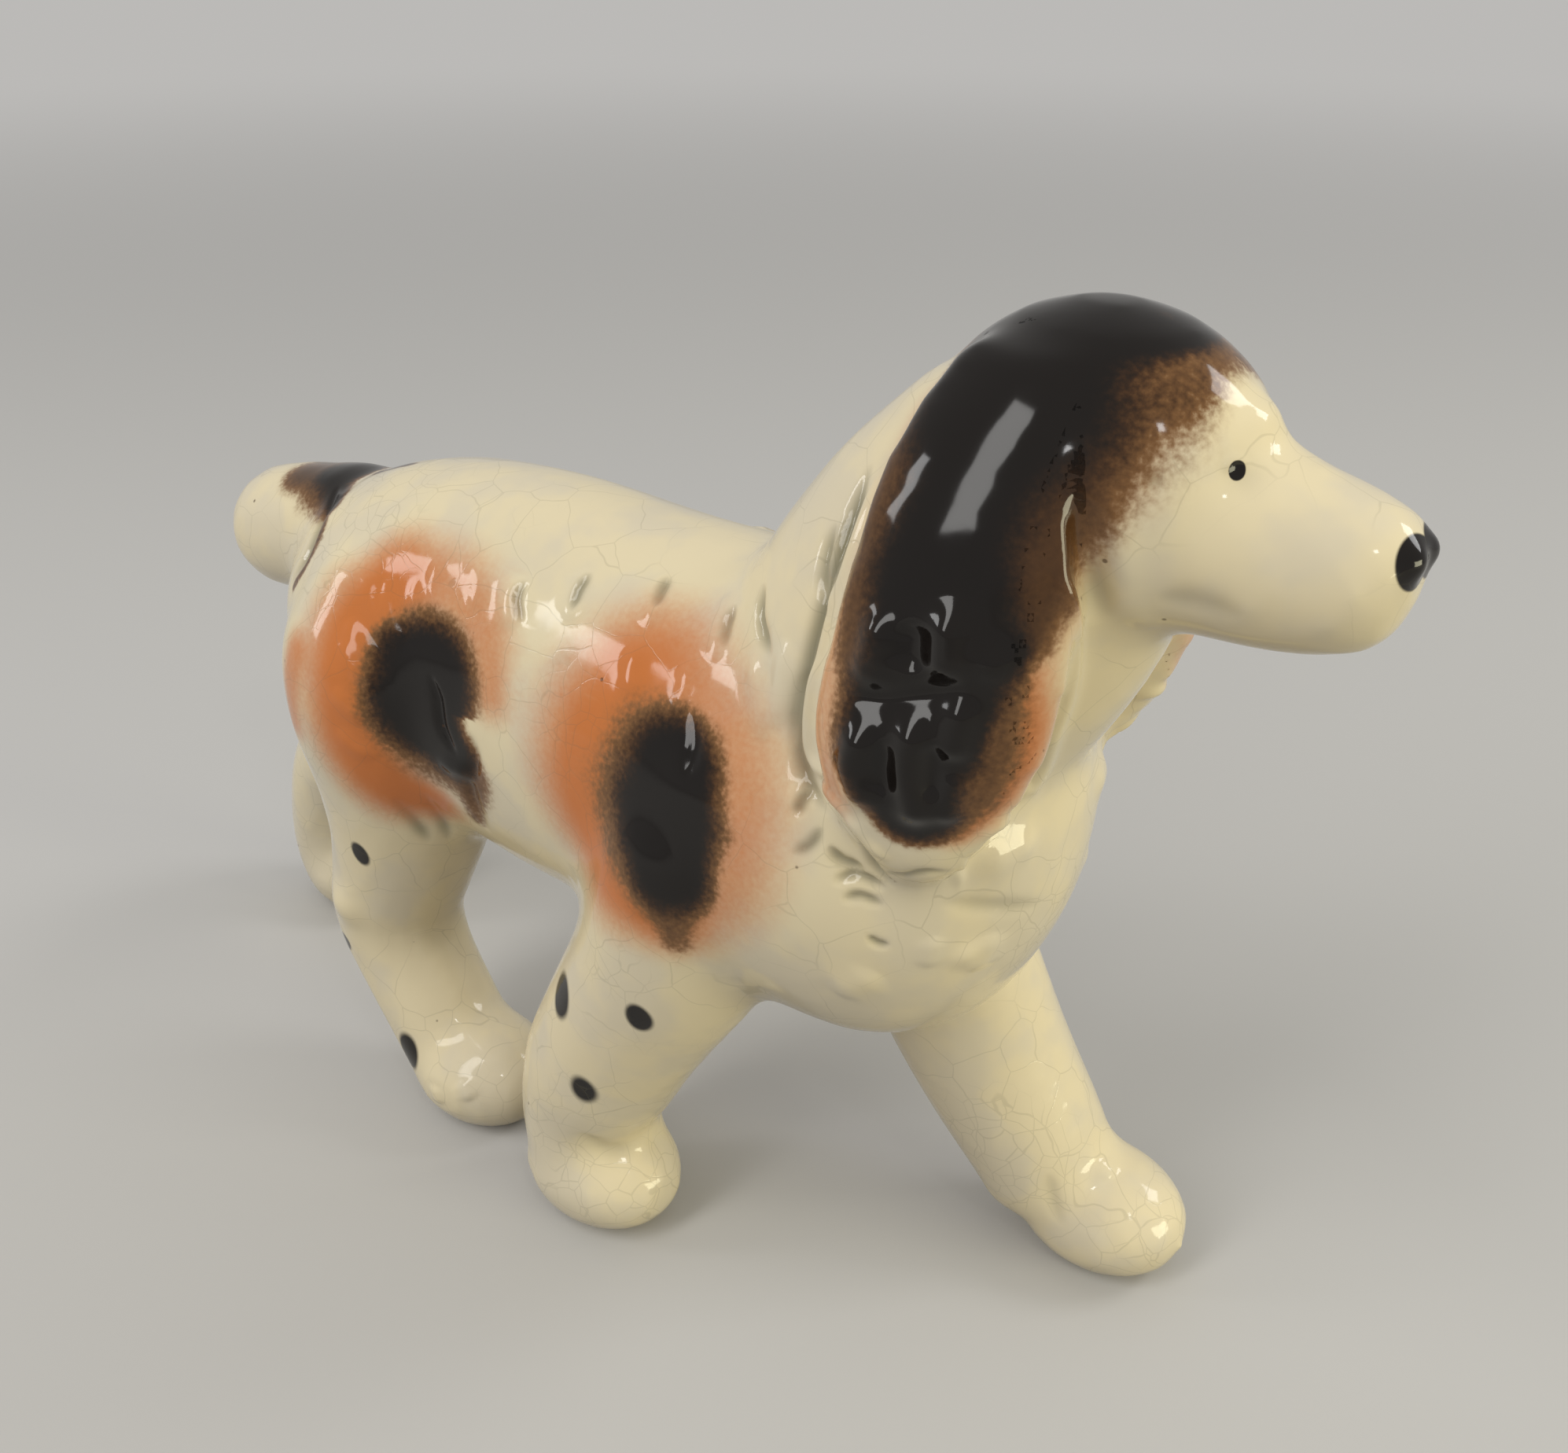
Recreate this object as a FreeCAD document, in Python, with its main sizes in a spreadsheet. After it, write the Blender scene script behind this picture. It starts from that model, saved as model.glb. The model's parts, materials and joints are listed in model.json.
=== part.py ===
import FreeCAD, Part
import math
import os

# Walking spaniel figure in hollow glazed earthenware, about 0.2 m long.
# Row frame: the nose points along +X, the animal's left side along +Y, and up is +Z.
# The four soles stand on z = 0, and the origin is under the middle of the figure.
# The castings are a body, a head, two ears, four legs and a docked tail. The head, the legs
# and the tail butt on flat seams, each with a thin fired layer of slip that once glued it.
# The body and the head are hollow. The legs and the tail are too thin to drain, so they are solid.

Vector = FreeCAD.Vector
doc = FreeCAD.newDocument("walking_dog_figure")

# Driving dimensions in mm. Places are measured in the row frame. A rise is measured up from the
# torso's axis and a drop down from it, so that the dog stays whole when its axis is moved.
SIZES = {
    # Cast walls and seams
    "wall": 3.6,
    "pinch": 1.8,
    "slip": 0.5,
    "leg_seam_drop": 32.0,
    "cutter_size": 400.0,
    "vent_radius": 3.0,
    "vent_ahead": -4.0,
    # Torso: rump to breast, with its back and belly
    "torso_rear": -58.5,
    "torso_length": 124.5,
    "torso_axis_height": 73.5,
    "torso_half_depth": 28.5,
    "torso_half_width": 25.0,
    # Neck: from inside the torso up into the skull
    "neck_root_ahead": 36.0,
    "neck_root_rise": 0.5,
    "neck_rise": 47.0,
    "neck_advance": 26.5,
    "neck_half_girth": 22.0,
    "neck_half_width": 20.0,
    "neck_seam_share": 0.66,
    # Skull from the top of the neck, and muzzle from the skull
    "skull_advance": 2.0,
    "skull_rise": 0.2,
    "skull_half_length": 18.5,
    "skull_half_width": 15.5,
    "skull_half_depth": 16.8,
    "muzzle_advance": 3.5,
    "muzzle_drop": 2.3,
    "muzzle_length": 29.0,
    "muzzle_half_depth": 12.6,
    "muzzle_half_width": 12.9,
    # Ears: long flaps from the crown of the skull down over the cheek and neck
    "ear_setback": 4.0,
    "ear_rise": 13.3,
    "ear_drop": 54.0,
    "ear_aside": 20.2,
    "ear_half_width": 12.2,
    "ear_half_thickness": 5.4,
    # Tail: docked and blunt
    "tail_root_ahead": -50.0,
    "tail_root_rise": 13.5,
    "tail_length": 27.0,
    "tail_fall": 5.5,
    "tail_half_girth": 9.5,
    "tail_seam_share": 0.42,
    # Legs: the top inside the torso, the paw on the floor, and the thickest half girth
    "foreleg_right_top_ahead": 28.0,
    "foreleg_right_top_aside": -11.5,
    "foreleg_right_top_rise": 10.5,
    "foreleg_right_paw_ahead": 5.5,
    "foreleg_right_paw_aside": -17.0,
    "foreleg_right_half_girth": 14.5,
    "foreleg_left_top_ahead": 30.0,
    "foreleg_left_top_aside": 11.5,
    "foreleg_left_top_rise": 10.5,
    "foreleg_left_paw_ahead": 67.5,
    "foreleg_left_paw_aside": 19.0,
    "foreleg_left_half_girth": 13.8,
    "hind_leg_right_top_ahead": -32.6,
    "hind_leg_right_top_aside": -9.0,
    "hind_leg_right_top_rise": 18.5,
    "hind_leg_right_paw_ahead": -24.0,
    "hind_leg_right_paw_aside": -13.0,
    "hind_leg_right_half_girth": 16.8,
    "hind_leg_left_top_ahead": -32.0,
    "hind_leg_left_top_aside": 9.0,
    "hind_leg_left_top_rise": 18.5,
    "hind_leg_left_paw_ahead": -84.0,
    "hind_leg_left_paw_aside": 13.0,
    "hind_leg_left_half_girth": 17.4,
    "paw_half_length": 12.5,
    "paw_half_width": 9.8,
    "paw_half_depth": 8.8,
    "paw_height": 7.2,
}

sheet = doc.addObject("Spreadsheet::Sheet", "Sizes")
for row, (alias, value) in enumerate(SIZES.items(), start=1):
    sheet.set(f"A{row}", alias)
    sheet.set(f"B{row}", str(value))
    sheet.setAlias(f"B{row}", alias)
doc.recompute()

# Outlines as shares of the sizes above, chosen by hand.
# Torso and muzzle: along the axis, axis lift in half depths, half depth, half width.
TORSO_SHARES = (
    (0.0, 0.16, 0.20, 0.22),
    (0.03, 0.14, 0.48, 0.52),
    (0.10, 0.10, 0.73, 0.80),
    (0.22, 0.07, 0.88, 0.90),
    (0.38, 0.02, 1.02, 0.86),
    (0.54, 0.02, 1.02, 0.92),
    (0.70, -0.01, 1.01, 1.0),
    (0.84, -0.02, 1.0, 0.96),
    (0.93, 0.04, 0.82, 0.78),
    (0.98, 0.10, 0.50, 0.46),
    (1.0, 0.12, 0.20, 0.18),
)
MUZZLE_SHARES = (
    (0.0, 0.0, 1.0, 1.0),
    (0.30, -0.03, 0.88, 0.86),
    (0.58, -0.15, 0.75, 0.70),
    (0.84, -0.17, 0.60, 0.57),
    (0.96, -0.12, 0.44, 0.41),
    (1.0, -0.05, 0.22, 0.20),
)
# Neck: rise, advance, half girth fore and aft, half width.
NECK_SHARES = (
    (0.0, 0.0, 1.0, 1.0),
    (0.38, 0.29, 0.99, 0.98),
    (0.72, 0.66, 0.94, 0.87),
    (1.0, 0.98, 0.78, 0.74),
)
# Ear: drop, set back in half widths, distance from the middle, half width, half thickness,
# and the turn in degrees that brings its front edge in.
EAR_SHARES = (
    (0.0, 0.0, 0.42, 0.53, 0.52, 0),
    (0.11, 0.0, 0.65, 0.72, 0.74, 2),
    (0.25, 0.01, 0.82, 0.87, 0.85, 5),
    (0.40, 0.02, 0.90, 0.95, 0.91, 9),
    (0.55, 0.07, 0.95, 1.0, 0.96, 13),
    (0.69, 0.16, 0.98, 0.98, 1.0, 16),
    (0.82, 0.22, 1.0, 0.80, 0.93, 18),
    (0.93, 0.20, 1.0, 0.52, 0.74, 18),
    (1.0, 0.16, 0.98, 0.20, 0.37, 18),
)
# Tail: along, half girth.
TAIL_SHARES = (
    (0.0, 1.0),
    (0.35, 1.0),
    (0.70, 0.97),
    (0.88, 0.80),
    (0.97, 0.48),
    (1.0, 0.20),
)
# Legs: height above the floor, reach from the top to the paw, half girth.
LEG_SHARES = {
    "foreleg_right": (
        (1.0, 0.0, 0.62),
        (0.86, 0.09, 1.0),
        (0.71, 0.27, 0.96),
        (0.60, 0.42, 0.90),
        (0.50, 0.62, 0.85),
        (0.39, 0.84, 0.81),
        (0.30, 1.0, 0.78),
        (0.20, 1.13, 0.68),
        (0.11, 1.09, 0.66),
    ),
    "foreleg_left": (
        (1.0, 0.0, 0.62),
        (0.86, 0.05, 1.0),
        (0.71, 0.14, 0.96),
        (0.60, 0.22, 0.91),
        (0.48, 0.35, 0.88),
        (0.33, 0.52, 0.82),
        (0.19, 0.71, 0.75),
        (0.10, 0.81, 0.67),
    ),
    "hind_leg_right": (
        (1.0, 0.0, 0.60),
        (0.87, -0.08, 1.0),
        (0.74, -0.15, 1.02),
        (0.62, -0.26, 0.85),
        (0.51, -0.47, 0.71),
        (0.41, -0.79, 0.63),
        (0.33, -1.0, 0.59),
        (0.24, -0.68, 0.54),
        (0.15, -0.02, 0.52),
        (0.09, 0.44, 0.52),
    ),
    "hind_leg_left": (
        (1.0, 0.0, 0.55),
        (0.87, 0.04, 0.95),
        (0.74, 0.14, 0.97),
        (0.63, 0.33, 0.83),
        (0.52, 0.58, 0.70),
        (0.42, 0.81, 0.62),
        (0.33, 0.96, 0.56),
        (0.24, 1.04, 0.52),
        (0.15, 1.08, 0.50),
        (0.09, 1.07, 0.50),
    ),
}


def size(alias):
    """Give a driving dimension as a plain number."""
    return float(getattr(sheet, alias))


def bind(obj, bindings):
    """Bind properties of an object to expressions on the sheet."""
    for prop, expression in bindings.items():
        obj.setExpression(prop, expression)
    return obj


def place(obj, x_text, y_text, z_text):
    """Bind an object's position to three expressions."""
    return bind(obj, {
        "Placement.Base.x": x_text,
        "Placement.Base.y": y_text,
        "Placement.Base.z": z_text,
    })


def tilt(obj, angle):
    """Turn an object about the row's Y axis by an angle in degrees."""
    obj.Placement = FreeCAD.Placement(Vector(), FreeCAD.Rotation(Vector(0, 1, 0), angle))
    return obj


def ellipsoid(name, centre, half_length, half_width, half_depth):
    """Make a whole ellipsoid from texts for its centre and its half axes."""
    form = doc.addObject("Part::Ellipsoid", name)
    bind(form, {"Radius1": half_depth, "Radius2": half_length, "Radius3": half_width})
    form.Angle1 = -90
    form.Angle2 = 90
    return place(form, *centre)


def fuse(name, parts):
    """Join forms into one, one after another."""
    form = parts[0]
    for part in parts[1:]:
        joined = doc.addObject("Part::Fuse", name)
        joined.Base = form
        joined.Tool = part
        form = joined
    return form


def common(name, parts):
    """Keep what forms share."""
    form = doc.addObject("Part::MultiCommon", name)
    form.Shapes = parts
    return form


def cut(name, base, tool):
    """Take one form out of another."""
    form = doc.addObject("Part::Cut", name)
    form.Base = base
    form.Tool = tool
    return form


def loft(name, sections):
    """Draw a smooth solid through sections."""
    form = doc.addObject("Part::Loft", name)
    form.Sections = sections
    form.Solid = True
    form.Ruled = False
    return form


def oval_wire(centre, half_depth, half_width, angle):
    """Draw an upright oval across the X axis, then turn it about Y and move it to its centre."""
    circle = Part.Wire(Part.Circle(Vector(), Vector(1, 0, 0), 1).toShape())
    scale = FreeCAD.Matrix()
    scale.scale(1, half_width, half_depth)
    oval = circle.transformGeometry(scale)
    oval.Placement = FreeCAD.Placement(centre, FreeCAD.Rotation(Vector(0, 1, 0), angle))
    return oval


def skin(name, wires):
    """Make a free-form solid through oval wires."""
    form = doc.addObject("Part::Feature", name)
    form.Shape = Part.makeLoft(wires, True, False)
    return form


def drawn_in(half, inset):
    """Take the inset off a half width, keeping a small end open."""
    return max(half - inset, size("pinch"))


def torso(name, inset):
    """Make the barrel of the torso, drawn in by an inset."""
    wires = []
    for along, lift, depth, width in TORSO_SHARES:
        half_depth = drawn_in(size("torso_half_depth") * depth, inset)
        half_width = drawn_in(size("torso_half_width") * width, inset)
        ahead = size("torso_rear") + inset + (size("torso_length") - 2 * inset) * along
        height = size("torso_axis_height") + size("torso_half_depth") * lift
        wires.append(oval_wire(Vector(ahead, 0, height), half_depth, half_width, 0))
    return skin(name, wires)


# Places that follow from the sizes: seams and roots on the torso, and the skull on the neck's top
LEG_SEAM_HEIGHT = "(Sizes.torso_axis_height - Sizes.leg_seam_drop)"
TAIL_ROOT_HEIGHT = "(Sizes.torso_axis_height + Sizes.tail_root_rise)"
NECK_ROOT_HEIGHT = "(Sizes.torso_axis_height + Sizes.neck_root_rise)"
SKULL_AHEAD = "(Sizes.neck_root_ahead + Sizes.neck_advance + Sizes.skull_advance)"
SKULL_HEIGHT = f"({NECK_ROOT_HEIGHT} + Sizes.neck_rise + Sizes.skull_rise)"
tail_root_height = size("torso_axis_height") + size("tail_root_rise")
neck_root_height = size("torso_axis_height") + size("neck_root_rise")
skull_ahead = size("neck_root_ahead") + size("neck_advance") + size("skull_advance")
skull_height = neck_root_height + size("neck_rise") + size("skull_rise")


def muzzle(name, inset):
    """Make the muzzle from the cheeks to the tip of the nose."""
    wires = []
    for along, lift, depth, width in MUZZLE_SHARES:
        half_depth = drawn_in(size("muzzle_half_depth") * depth, inset)
        half_width = drawn_in(size("muzzle_half_width") * width, inset)
        ahead = skull_ahead + size("muzzle_advance") + (size("muzzle_length") - inset) * along
        height = skull_height - size("muzzle_drop") + size("muzzle_half_depth") * lift
        wires.append(oval_wire(Vector(ahead, 0, height), half_depth, half_width, 0))
    return skin(name, wires)


NECK_LEAN = math.degrees(math.atan2(size("neck_advance"), size("neck_rise")))


def neck(name, inset):
    """Make the neck, whose sections lie across its leaning axis."""
    wires = []
    for rise, advance, girth, width in NECK_SHARES:
        ahead = size("neck_root_ahead") + size("neck_advance") * advance
        height = neck_root_height + size("neck_rise") * rise
        centre = Vector(ahead, 0, height)
        half_girth = drawn_in(size("neck_half_girth") * girth, inset)
        half_width = drawn_in(size("neck_half_width") * width, inset)
        wires.append(oval_wire(centre, half_girth, half_width, NECK_LEAN - 90))
    return skin(name, wires)


def leg(name, inset_text):
    """Make one leg without its paw, through circles across its axis."""
    top_ahead = size(f"{name}_top_ahead")
    top_height = size("torso_axis_height") + size(f"{name}_top_rise")
    reach_whole = size(f"{name}_paw_ahead") - top_ahead
    shares = LEG_SHARES[name]
    axis_points = [(top_ahead + reach_whole * reach, top_height * height)
                   for height, reach, girth in shares]
    sections = []
    for i, (height, reach, girth) in enumerate(shares):
        above = axis_points[max(i - 1, 0)]
        below = axis_points[min(i + 1, len(shares) - 1)]
        lean = math.degrees(math.atan2(above[0] - below[0], above[1] - below[1]))
        ring = tilt(doc.addObject("Part::Circle", f"{name}_ring"), lean)
        bind(ring, {"Radius": f"Sizes.{name}_half_girth * {girth} - {inset_text}"})
        place(
            ring,
            f"Sizes.{name}_top_ahead + (Sizes.{name}_paw_ahead - Sizes.{name}_top_ahead) * {reach}",
            f"Sizes.{name}_top_aside * {height} + Sizes.{name}_paw_aside * {1 - height}",
            f"(Sizes.torso_axis_height + Sizes.{name}_top_rise) * {height}",
        )
        sections.append(ring)
    return loft(f"{name}_form", sections)


def slab(name, bottom_text, height_text):
    """Make a wide level slab from its bottom level and its thickness, given as texts."""
    box = doc.addObject("Part::Box", name)
    bind(box, {"Length": "Sizes.cutter_size", "Width": "Sizes.cutter_size", "Height": height_text})
    return place(box, "-Sizes.cutter_size / 2", "-Sizes.cutter_size / 2", bottom_text)


def leaning_slab(name, point, direction, start, thickness):
    """Make a square slab across a direction, from a start distance past a point."""
    side = size("cutter_size")
    box = doc.addObject("Part::Feature", name)
    box.Shape = Part.makeBox(side, side, thickness, Vector(-side / 2, -side / 2, 0))
    turn = FreeCAD.Rotation(Vector(0, 0, 1), direction)
    box.Placement = FreeCAD.Placement(point + direction * start, turn)
    return box


# Forms of the outside
LEG_NAMES = tuple(LEG_SHARES)
torso_form = torso("torso_form", 0)
neck_form = neck("neck_form", 0)
muzzle_form = muzzle("muzzle_form", 0)
skull_form = ellipsoid(
    "skull_form",
    (SKULL_AHEAD, "0", SKULL_HEIGHT),
    "Sizes.skull_half_length",
    "Sizes.skull_half_width",
    "Sizes.skull_half_depth",
)
leg_forms = {name: leg(name, "0") for name in LEG_NAMES}
paw_forms = {name: ellipsoid(
    f"{name}_paw_form",
    (f"Sizes.{name}_paw_ahead", f"Sizes.{name}_paw_aside", "Sizes.paw_height"),
    "Sizes.paw_half_length",
    "Sizes.paw_half_width",
    "Sizes.paw_half_depth",
) for name in LEG_NAMES}

# Tail form, through circles across its falling axis
tail_sections = []
tail_lean = -90 - math.degrees(math.atan2(size("tail_fall"), size("tail_length")))
for along, girth in TAIL_SHARES:
    ring = tilt(doc.addObject("Part::Circle", "tail_ring"), tail_lean)
    bind(ring, {"Radius": f"Sizes.tail_half_girth * {girth}"})
    place(
        ring,
        f"Sizes.tail_root_ahead - Sizes.tail_length * {along}",
        "0",
        f"{TAIL_ROOT_HEIGHT} - Sizes.tail_fall * {along}",
    )
    tail_sections.append(ring)
tail_form = loft("tail_form", tail_sections)

# Form of the right ear, through level ovals that are wide along the dog and thin across
ear_ovals = []
for drop, back, aside, width, thickness, turn in EAR_SHARES:
    oval = doc.addObject("Part::Ellipse", "ear_oval")
    oval.Placement = FreeCAD.Placement(Vector(), FreeCAD.Rotation(Vector(0, 0, 1), turn))
    bind(oval, {
        "MajorRadius": f"Sizes.ear_half_width * {width}",
        "MinorRadius": f"Sizes.ear_half_thickness * {thickness}",
    })
    place(
        oval,
        f"{SKULL_AHEAD} - Sizes.ear_setback - Sizes.ear_half_width * {back}",
        f"-Sizes.ear_aside * {aside}",
        f"{SKULL_HEIGHT} + Sizes.ear_rise - Sizes.ear_drop * {drop}",
    )
    ear_ovals.append(oval)
ear_form = loft("ear_form", ear_ovals)

# Hollows of the castings, the same forms drawn in by the wall
WALL = size("wall")
torso_core = torso("torso_core", WALL)
neck_core = neck("neck_core", WALL)
muzzle_core = muzzle("muzzle_core", WALL)
skull_core = ellipsoid(
    "skull_core",
    (SKULL_AHEAD, "0", SKULL_HEIGHT),
    "Sizes.skull_half_length - Sizes.wall",
    "Sizes.skull_half_width - Sizes.wall",
    "Sizes.skull_half_depth - Sizes.wall",
)
body_hollow = fuse("body_hollow", [torso_core, neck_core])
head_hollow = fuse("head_hollow", [neck_core, skull_core, muzzle_core])

# Seams
neck_axis = Vector(size("neck_advance"), 0, size("neck_rise")).normalize()
neck_seam_point = Vector(
    size("neck_root_ahead") + size("neck_advance") * size("neck_seam_share"),
    0,
    neck_root_height + size("neck_rise") * size("neck_seam_share"),
)
tail_axis = Vector(-size("tail_length"), 0, -size("tail_fall")).normalize()
tail_seam_point = Vector(
    size("tail_root_ahead") - size("tail_length") * size("tail_seam_share"),
    0,
    tail_root_height - size("tail_fall") * size("tail_seam_share"),
)
SLIP = size("slip")
BEYOND = size("cutter_size")

# Spaces past the seams, and the slabs that hold the slip
legs_depth = f"Sizes.cutter_size + {LEG_SEAM_HEIGHT} + Sizes.slip"
legs_space = slab("legs_space", "-Sizes.cutter_size", legs_depth)
leg_slab = slab("leg_slab", "0", LEG_SEAM_HEIGHT)
leg_slip_slab = slab("leg_slip_slab", LEG_SEAM_HEIGHT, "Sizes.slip")
head_space = leaning_slab("head_space", neck_seam_point, neck_axis, 0, BEYOND)
head_slab = leaning_slab("head_slab", neck_seam_point, neck_axis, SLIP, BEYOND)
neck_slip_slab = leaning_slab("neck_slip_slab", neck_seam_point, neck_axis, 0, SLIP)
tail_space = leaning_slab("tail_space", tail_seam_point, tail_axis, 0, BEYOND)
tail_slab = leaning_slab("tail_slab", tail_seam_point, tail_axis, SLIP, BEYOND)
tail_slip_slab = leaning_slab("tail_slip_slab", tail_seam_point, tail_axis, 0, SLIP)

# Body shell: torso with its muscles, leg stubs, the base of the neck and the root of the tail
vent = doc.addObject("Part::Cylinder", "vent")
bind(vent, {"Radius": "Sizes.vent_radius", "Height": "Sizes.torso_axis_height"})
place(vent, "Sizes.vent_ahead", "0", "0")
tail_beyond_seam = common("tail_beyond_seam", [tail_form, tail_space])
torso_clear = cut("torso_clear", torso_form, tail_beyond_seam)
tail_root = cut("tail_root", tail_form, tail_space)
body_outside = fuse(
    "body_outside",
    [torso_clear, neck_form, tail_root] + list(leg_forms.values()),
)
body_solid = body_outside
for beyond_seam in (legs_space, head_space):
    body_solid = cut("body_solid", body_solid, beyond_seam)
body_air = fuse("body_air", [body_hollow, vent])
body_shell = cut("body_shell", body_solid, body_air)

# Head shell: skull, muzzle and the upper neck
head_outside = fuse("head_outside", [skull_form, muzzle_form, neck_form])
head_upper = common("head_upper", [head_outside, head_slab])
head_shell = cut("head_shell", head_upper, head_hollow)
neck_ring_solid = common("neck_ring_solid", [neck_form, neck_slip_slab])
neck_slip = cut("neck_slip", neck_ring_solid, neck_core)

# Ears, hollowed behind to sit against the head and the neck; the left one mirrors the right one
carrier = fuse("carrier", [torso_form, neck_form, skull_form, muzzle_form])
ear_right = cut("ear_right", ear_form, carrier)
ear_left = doc.addObject("Part::Mirroring", "ear_left")
ear_left.Source = ear_right
ear_left.Normal = Vector(0, 1, 0)

# Legs, each with its own slip layer
legs = {}
leg_slips = {}
for name in LEG_NAMES:
    outside = fuse(f"{name}_outside", [leg_forms[name], paw_forms[name]])
    legs[name] = common(name, [outside, leg_slab])
    leg_slips[name] = common(f"{name}_slip", [leg_forms[name], leg_slip_slab])

# Tail and its slip layer
tail = common("tail", [tail_form, tail_slab])
tail_slip = common("tail_slip", [tail_form, tail_slip_slab])

doc.recompute()

NODES = {"body_shell": body_shell, "head_shell": head_shell, "neck_slip": neck_slip}
NODES.update({"ear_right": ear_right, "ear_left": ear_left})
NODES.update(legs)
NODES.update({f"{name}_slip": ring for name, ring in leg_slips.items()})
NODES.update({"tail": tail, "tail_slip": tail_slip})

for obj in doc.Objects:
    if "Invalid" in obj.State or "Error" in obj.State:
        raise RuntimeError(f"{obj.Name} failed: {obj.State}")
for label, obj in NODES.items():
    obj.Label = label
    if obj.Shape.isNull() or not obj.Shape.isValid():
        raise RuntimeError(f"{label} has no valid shape")
    print(label, "solids", len(obj.Shape.Solids), "volume", round(obj.Shape.Volume))

os.makedirs("parts", exist_ok=True)
for label, obj in NODES.items():
    obj.Shape.exportStep(os.path.join("parts", f"{label}.step"))
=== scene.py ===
"""A walking spaniel figure in glazed earthenware: its modelled skin, its airbrushed colours and its glaze.

The skin is modelled whole in millimetres, as one closed surface, and is then cut into the pieces that
the figure was assembled from. Lines and spots that the photograph shows are drawn through its pixels
and land on the skin where the photograph's camera sees them.
"""

import json
import logging
import math
from dataclasses import dataclass, field
from enum import Enum
from typing import Callable, Iterable, Sequence

import bmesh
import bpy
import numpy as np
from mathutils import Matrix, Vector
from mathutils.bvhtree import BVHTree


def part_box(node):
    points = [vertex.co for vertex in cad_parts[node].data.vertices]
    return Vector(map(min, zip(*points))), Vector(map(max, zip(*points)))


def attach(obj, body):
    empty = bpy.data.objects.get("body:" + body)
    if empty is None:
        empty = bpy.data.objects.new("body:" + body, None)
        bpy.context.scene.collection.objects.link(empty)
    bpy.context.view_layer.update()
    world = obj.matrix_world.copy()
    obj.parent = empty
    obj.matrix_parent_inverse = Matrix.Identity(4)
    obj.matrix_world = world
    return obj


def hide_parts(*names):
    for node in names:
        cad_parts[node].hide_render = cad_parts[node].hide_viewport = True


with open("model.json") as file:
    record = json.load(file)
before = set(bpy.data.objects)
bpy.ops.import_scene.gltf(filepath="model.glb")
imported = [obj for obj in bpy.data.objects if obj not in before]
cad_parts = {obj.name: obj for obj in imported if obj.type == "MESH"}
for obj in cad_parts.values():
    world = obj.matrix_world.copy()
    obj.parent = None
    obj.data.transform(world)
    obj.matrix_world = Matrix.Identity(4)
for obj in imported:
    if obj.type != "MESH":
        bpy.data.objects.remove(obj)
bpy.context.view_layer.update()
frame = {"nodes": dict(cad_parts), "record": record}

log = logging.getLogger("dog_figure")

MM = 0.001
PHOTO_WIDTH = 1994
PHOTO_HEIGHT = 1848
MOST_TRIANGLES = 190_000
RING_SIDES = 40
# Rings between two sections of a form, and fewer for the forms with many sections.
RINGS_BETWEEN = 4
FEWER_RINGS_BETWEEN = 3
TINY = 1e-9

Pixel = tuple[float, float]
Place = tuple[float, float, float]


class Pigment(Enum):
    """A colour that was put on the biscuit ware before the glaze; black also serves as painted shade."""

    BLACK = "black"
    ORANGE = "orange"
    BROWN = "brown"


class Side(Enum):
    """A side of the dog, as the sign of its Y axis."""

    RIGHT = -1
    LEFT = 1


@dataclass(frozen=True)
class PhotoCamera:
    """The viewpoint of the photograph.

    Attributes:
        place: Where it is, in millimetres.
        heading: How far it is turned from the dog's left side towards its tail, in degrees.
        pitch: How far it looks down, in degrees.
        focal_pixels: Its focal length in pixels of the photograph.
        sensor_width: The width of its sensor in millimetres.
        clip: The nearest and the farthest that it sees, in millimetres.
    """

    place: Place = (129.3, -137.5, 174.0)
    heading: float = 37.0
    pitch: float = 28.935
    focal_pixels: float = 1997.0
    sensor_width: float = 36.0
    clip: tuple[float, float] = (10.0, 10_000.0)

    def axes(self) -> tuple[Vector, Vector, Vector]:
        """Give the directions to the right, up and ahead of the camera.

        Returns:
            The three unit vectors.
        """
        turn, fall = math.radians(self.heading), math.radians(self.pitch)
        ahead = Vector((
            -math.sin(turn) * math.cos(fall),
            math.cos(turn) * math.cos(fall),
            -math.sin(fall),
        ))
        right = Vector((math.cos(turn), math.sin(turn), 0.0))
        return right, right.cross(ahead), ahead

    def ray(self, pixel: Pixel) -> Vector:
        """Give the direction in which a pixel of the photograph looks.

        Args:
            pixel: Column and row in the photograph.

        Returns:
            A unit vector in the row frame.
        """
        right, up, ahead = self.axes()
        across = pixel[0] - PHOTO_WIDTH / 2
        down = pixel[1] - PHOTO_HEIGHT / 2
        return (ahead * self.focal_pixels + right * across - up * down).normalized()

    def build(self) -> bpy.types.Object:
        """Make the camera and give its object.

        Returns:
            The camera's object.
        """
        data = bpy.data.cameras.new("photo_camera")
        data.sensor_width = self.sensor_width
        data.sensor_fit = "HORIZONTAL"
        data.lens = self.sensor_width * self.focal_pixels / PHOTO_WIDTH
        data.clip_start, data.clip_end = (distance * MM for distance in self.clip)
        camera = bpy.data.objects.new("photo_camera", data)
        right, up, ahead = self.axes()
        turn = Matrix((right, up, -ahead)).transposed().to_4x4()
        camera.matrix_world = Matrix.Translation(Vector(self.place) * MM) @ turn
        bpy.context.scene.collection.objects.link(camera)
        bpy.context.scene.camera = camera
        return camera


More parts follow.
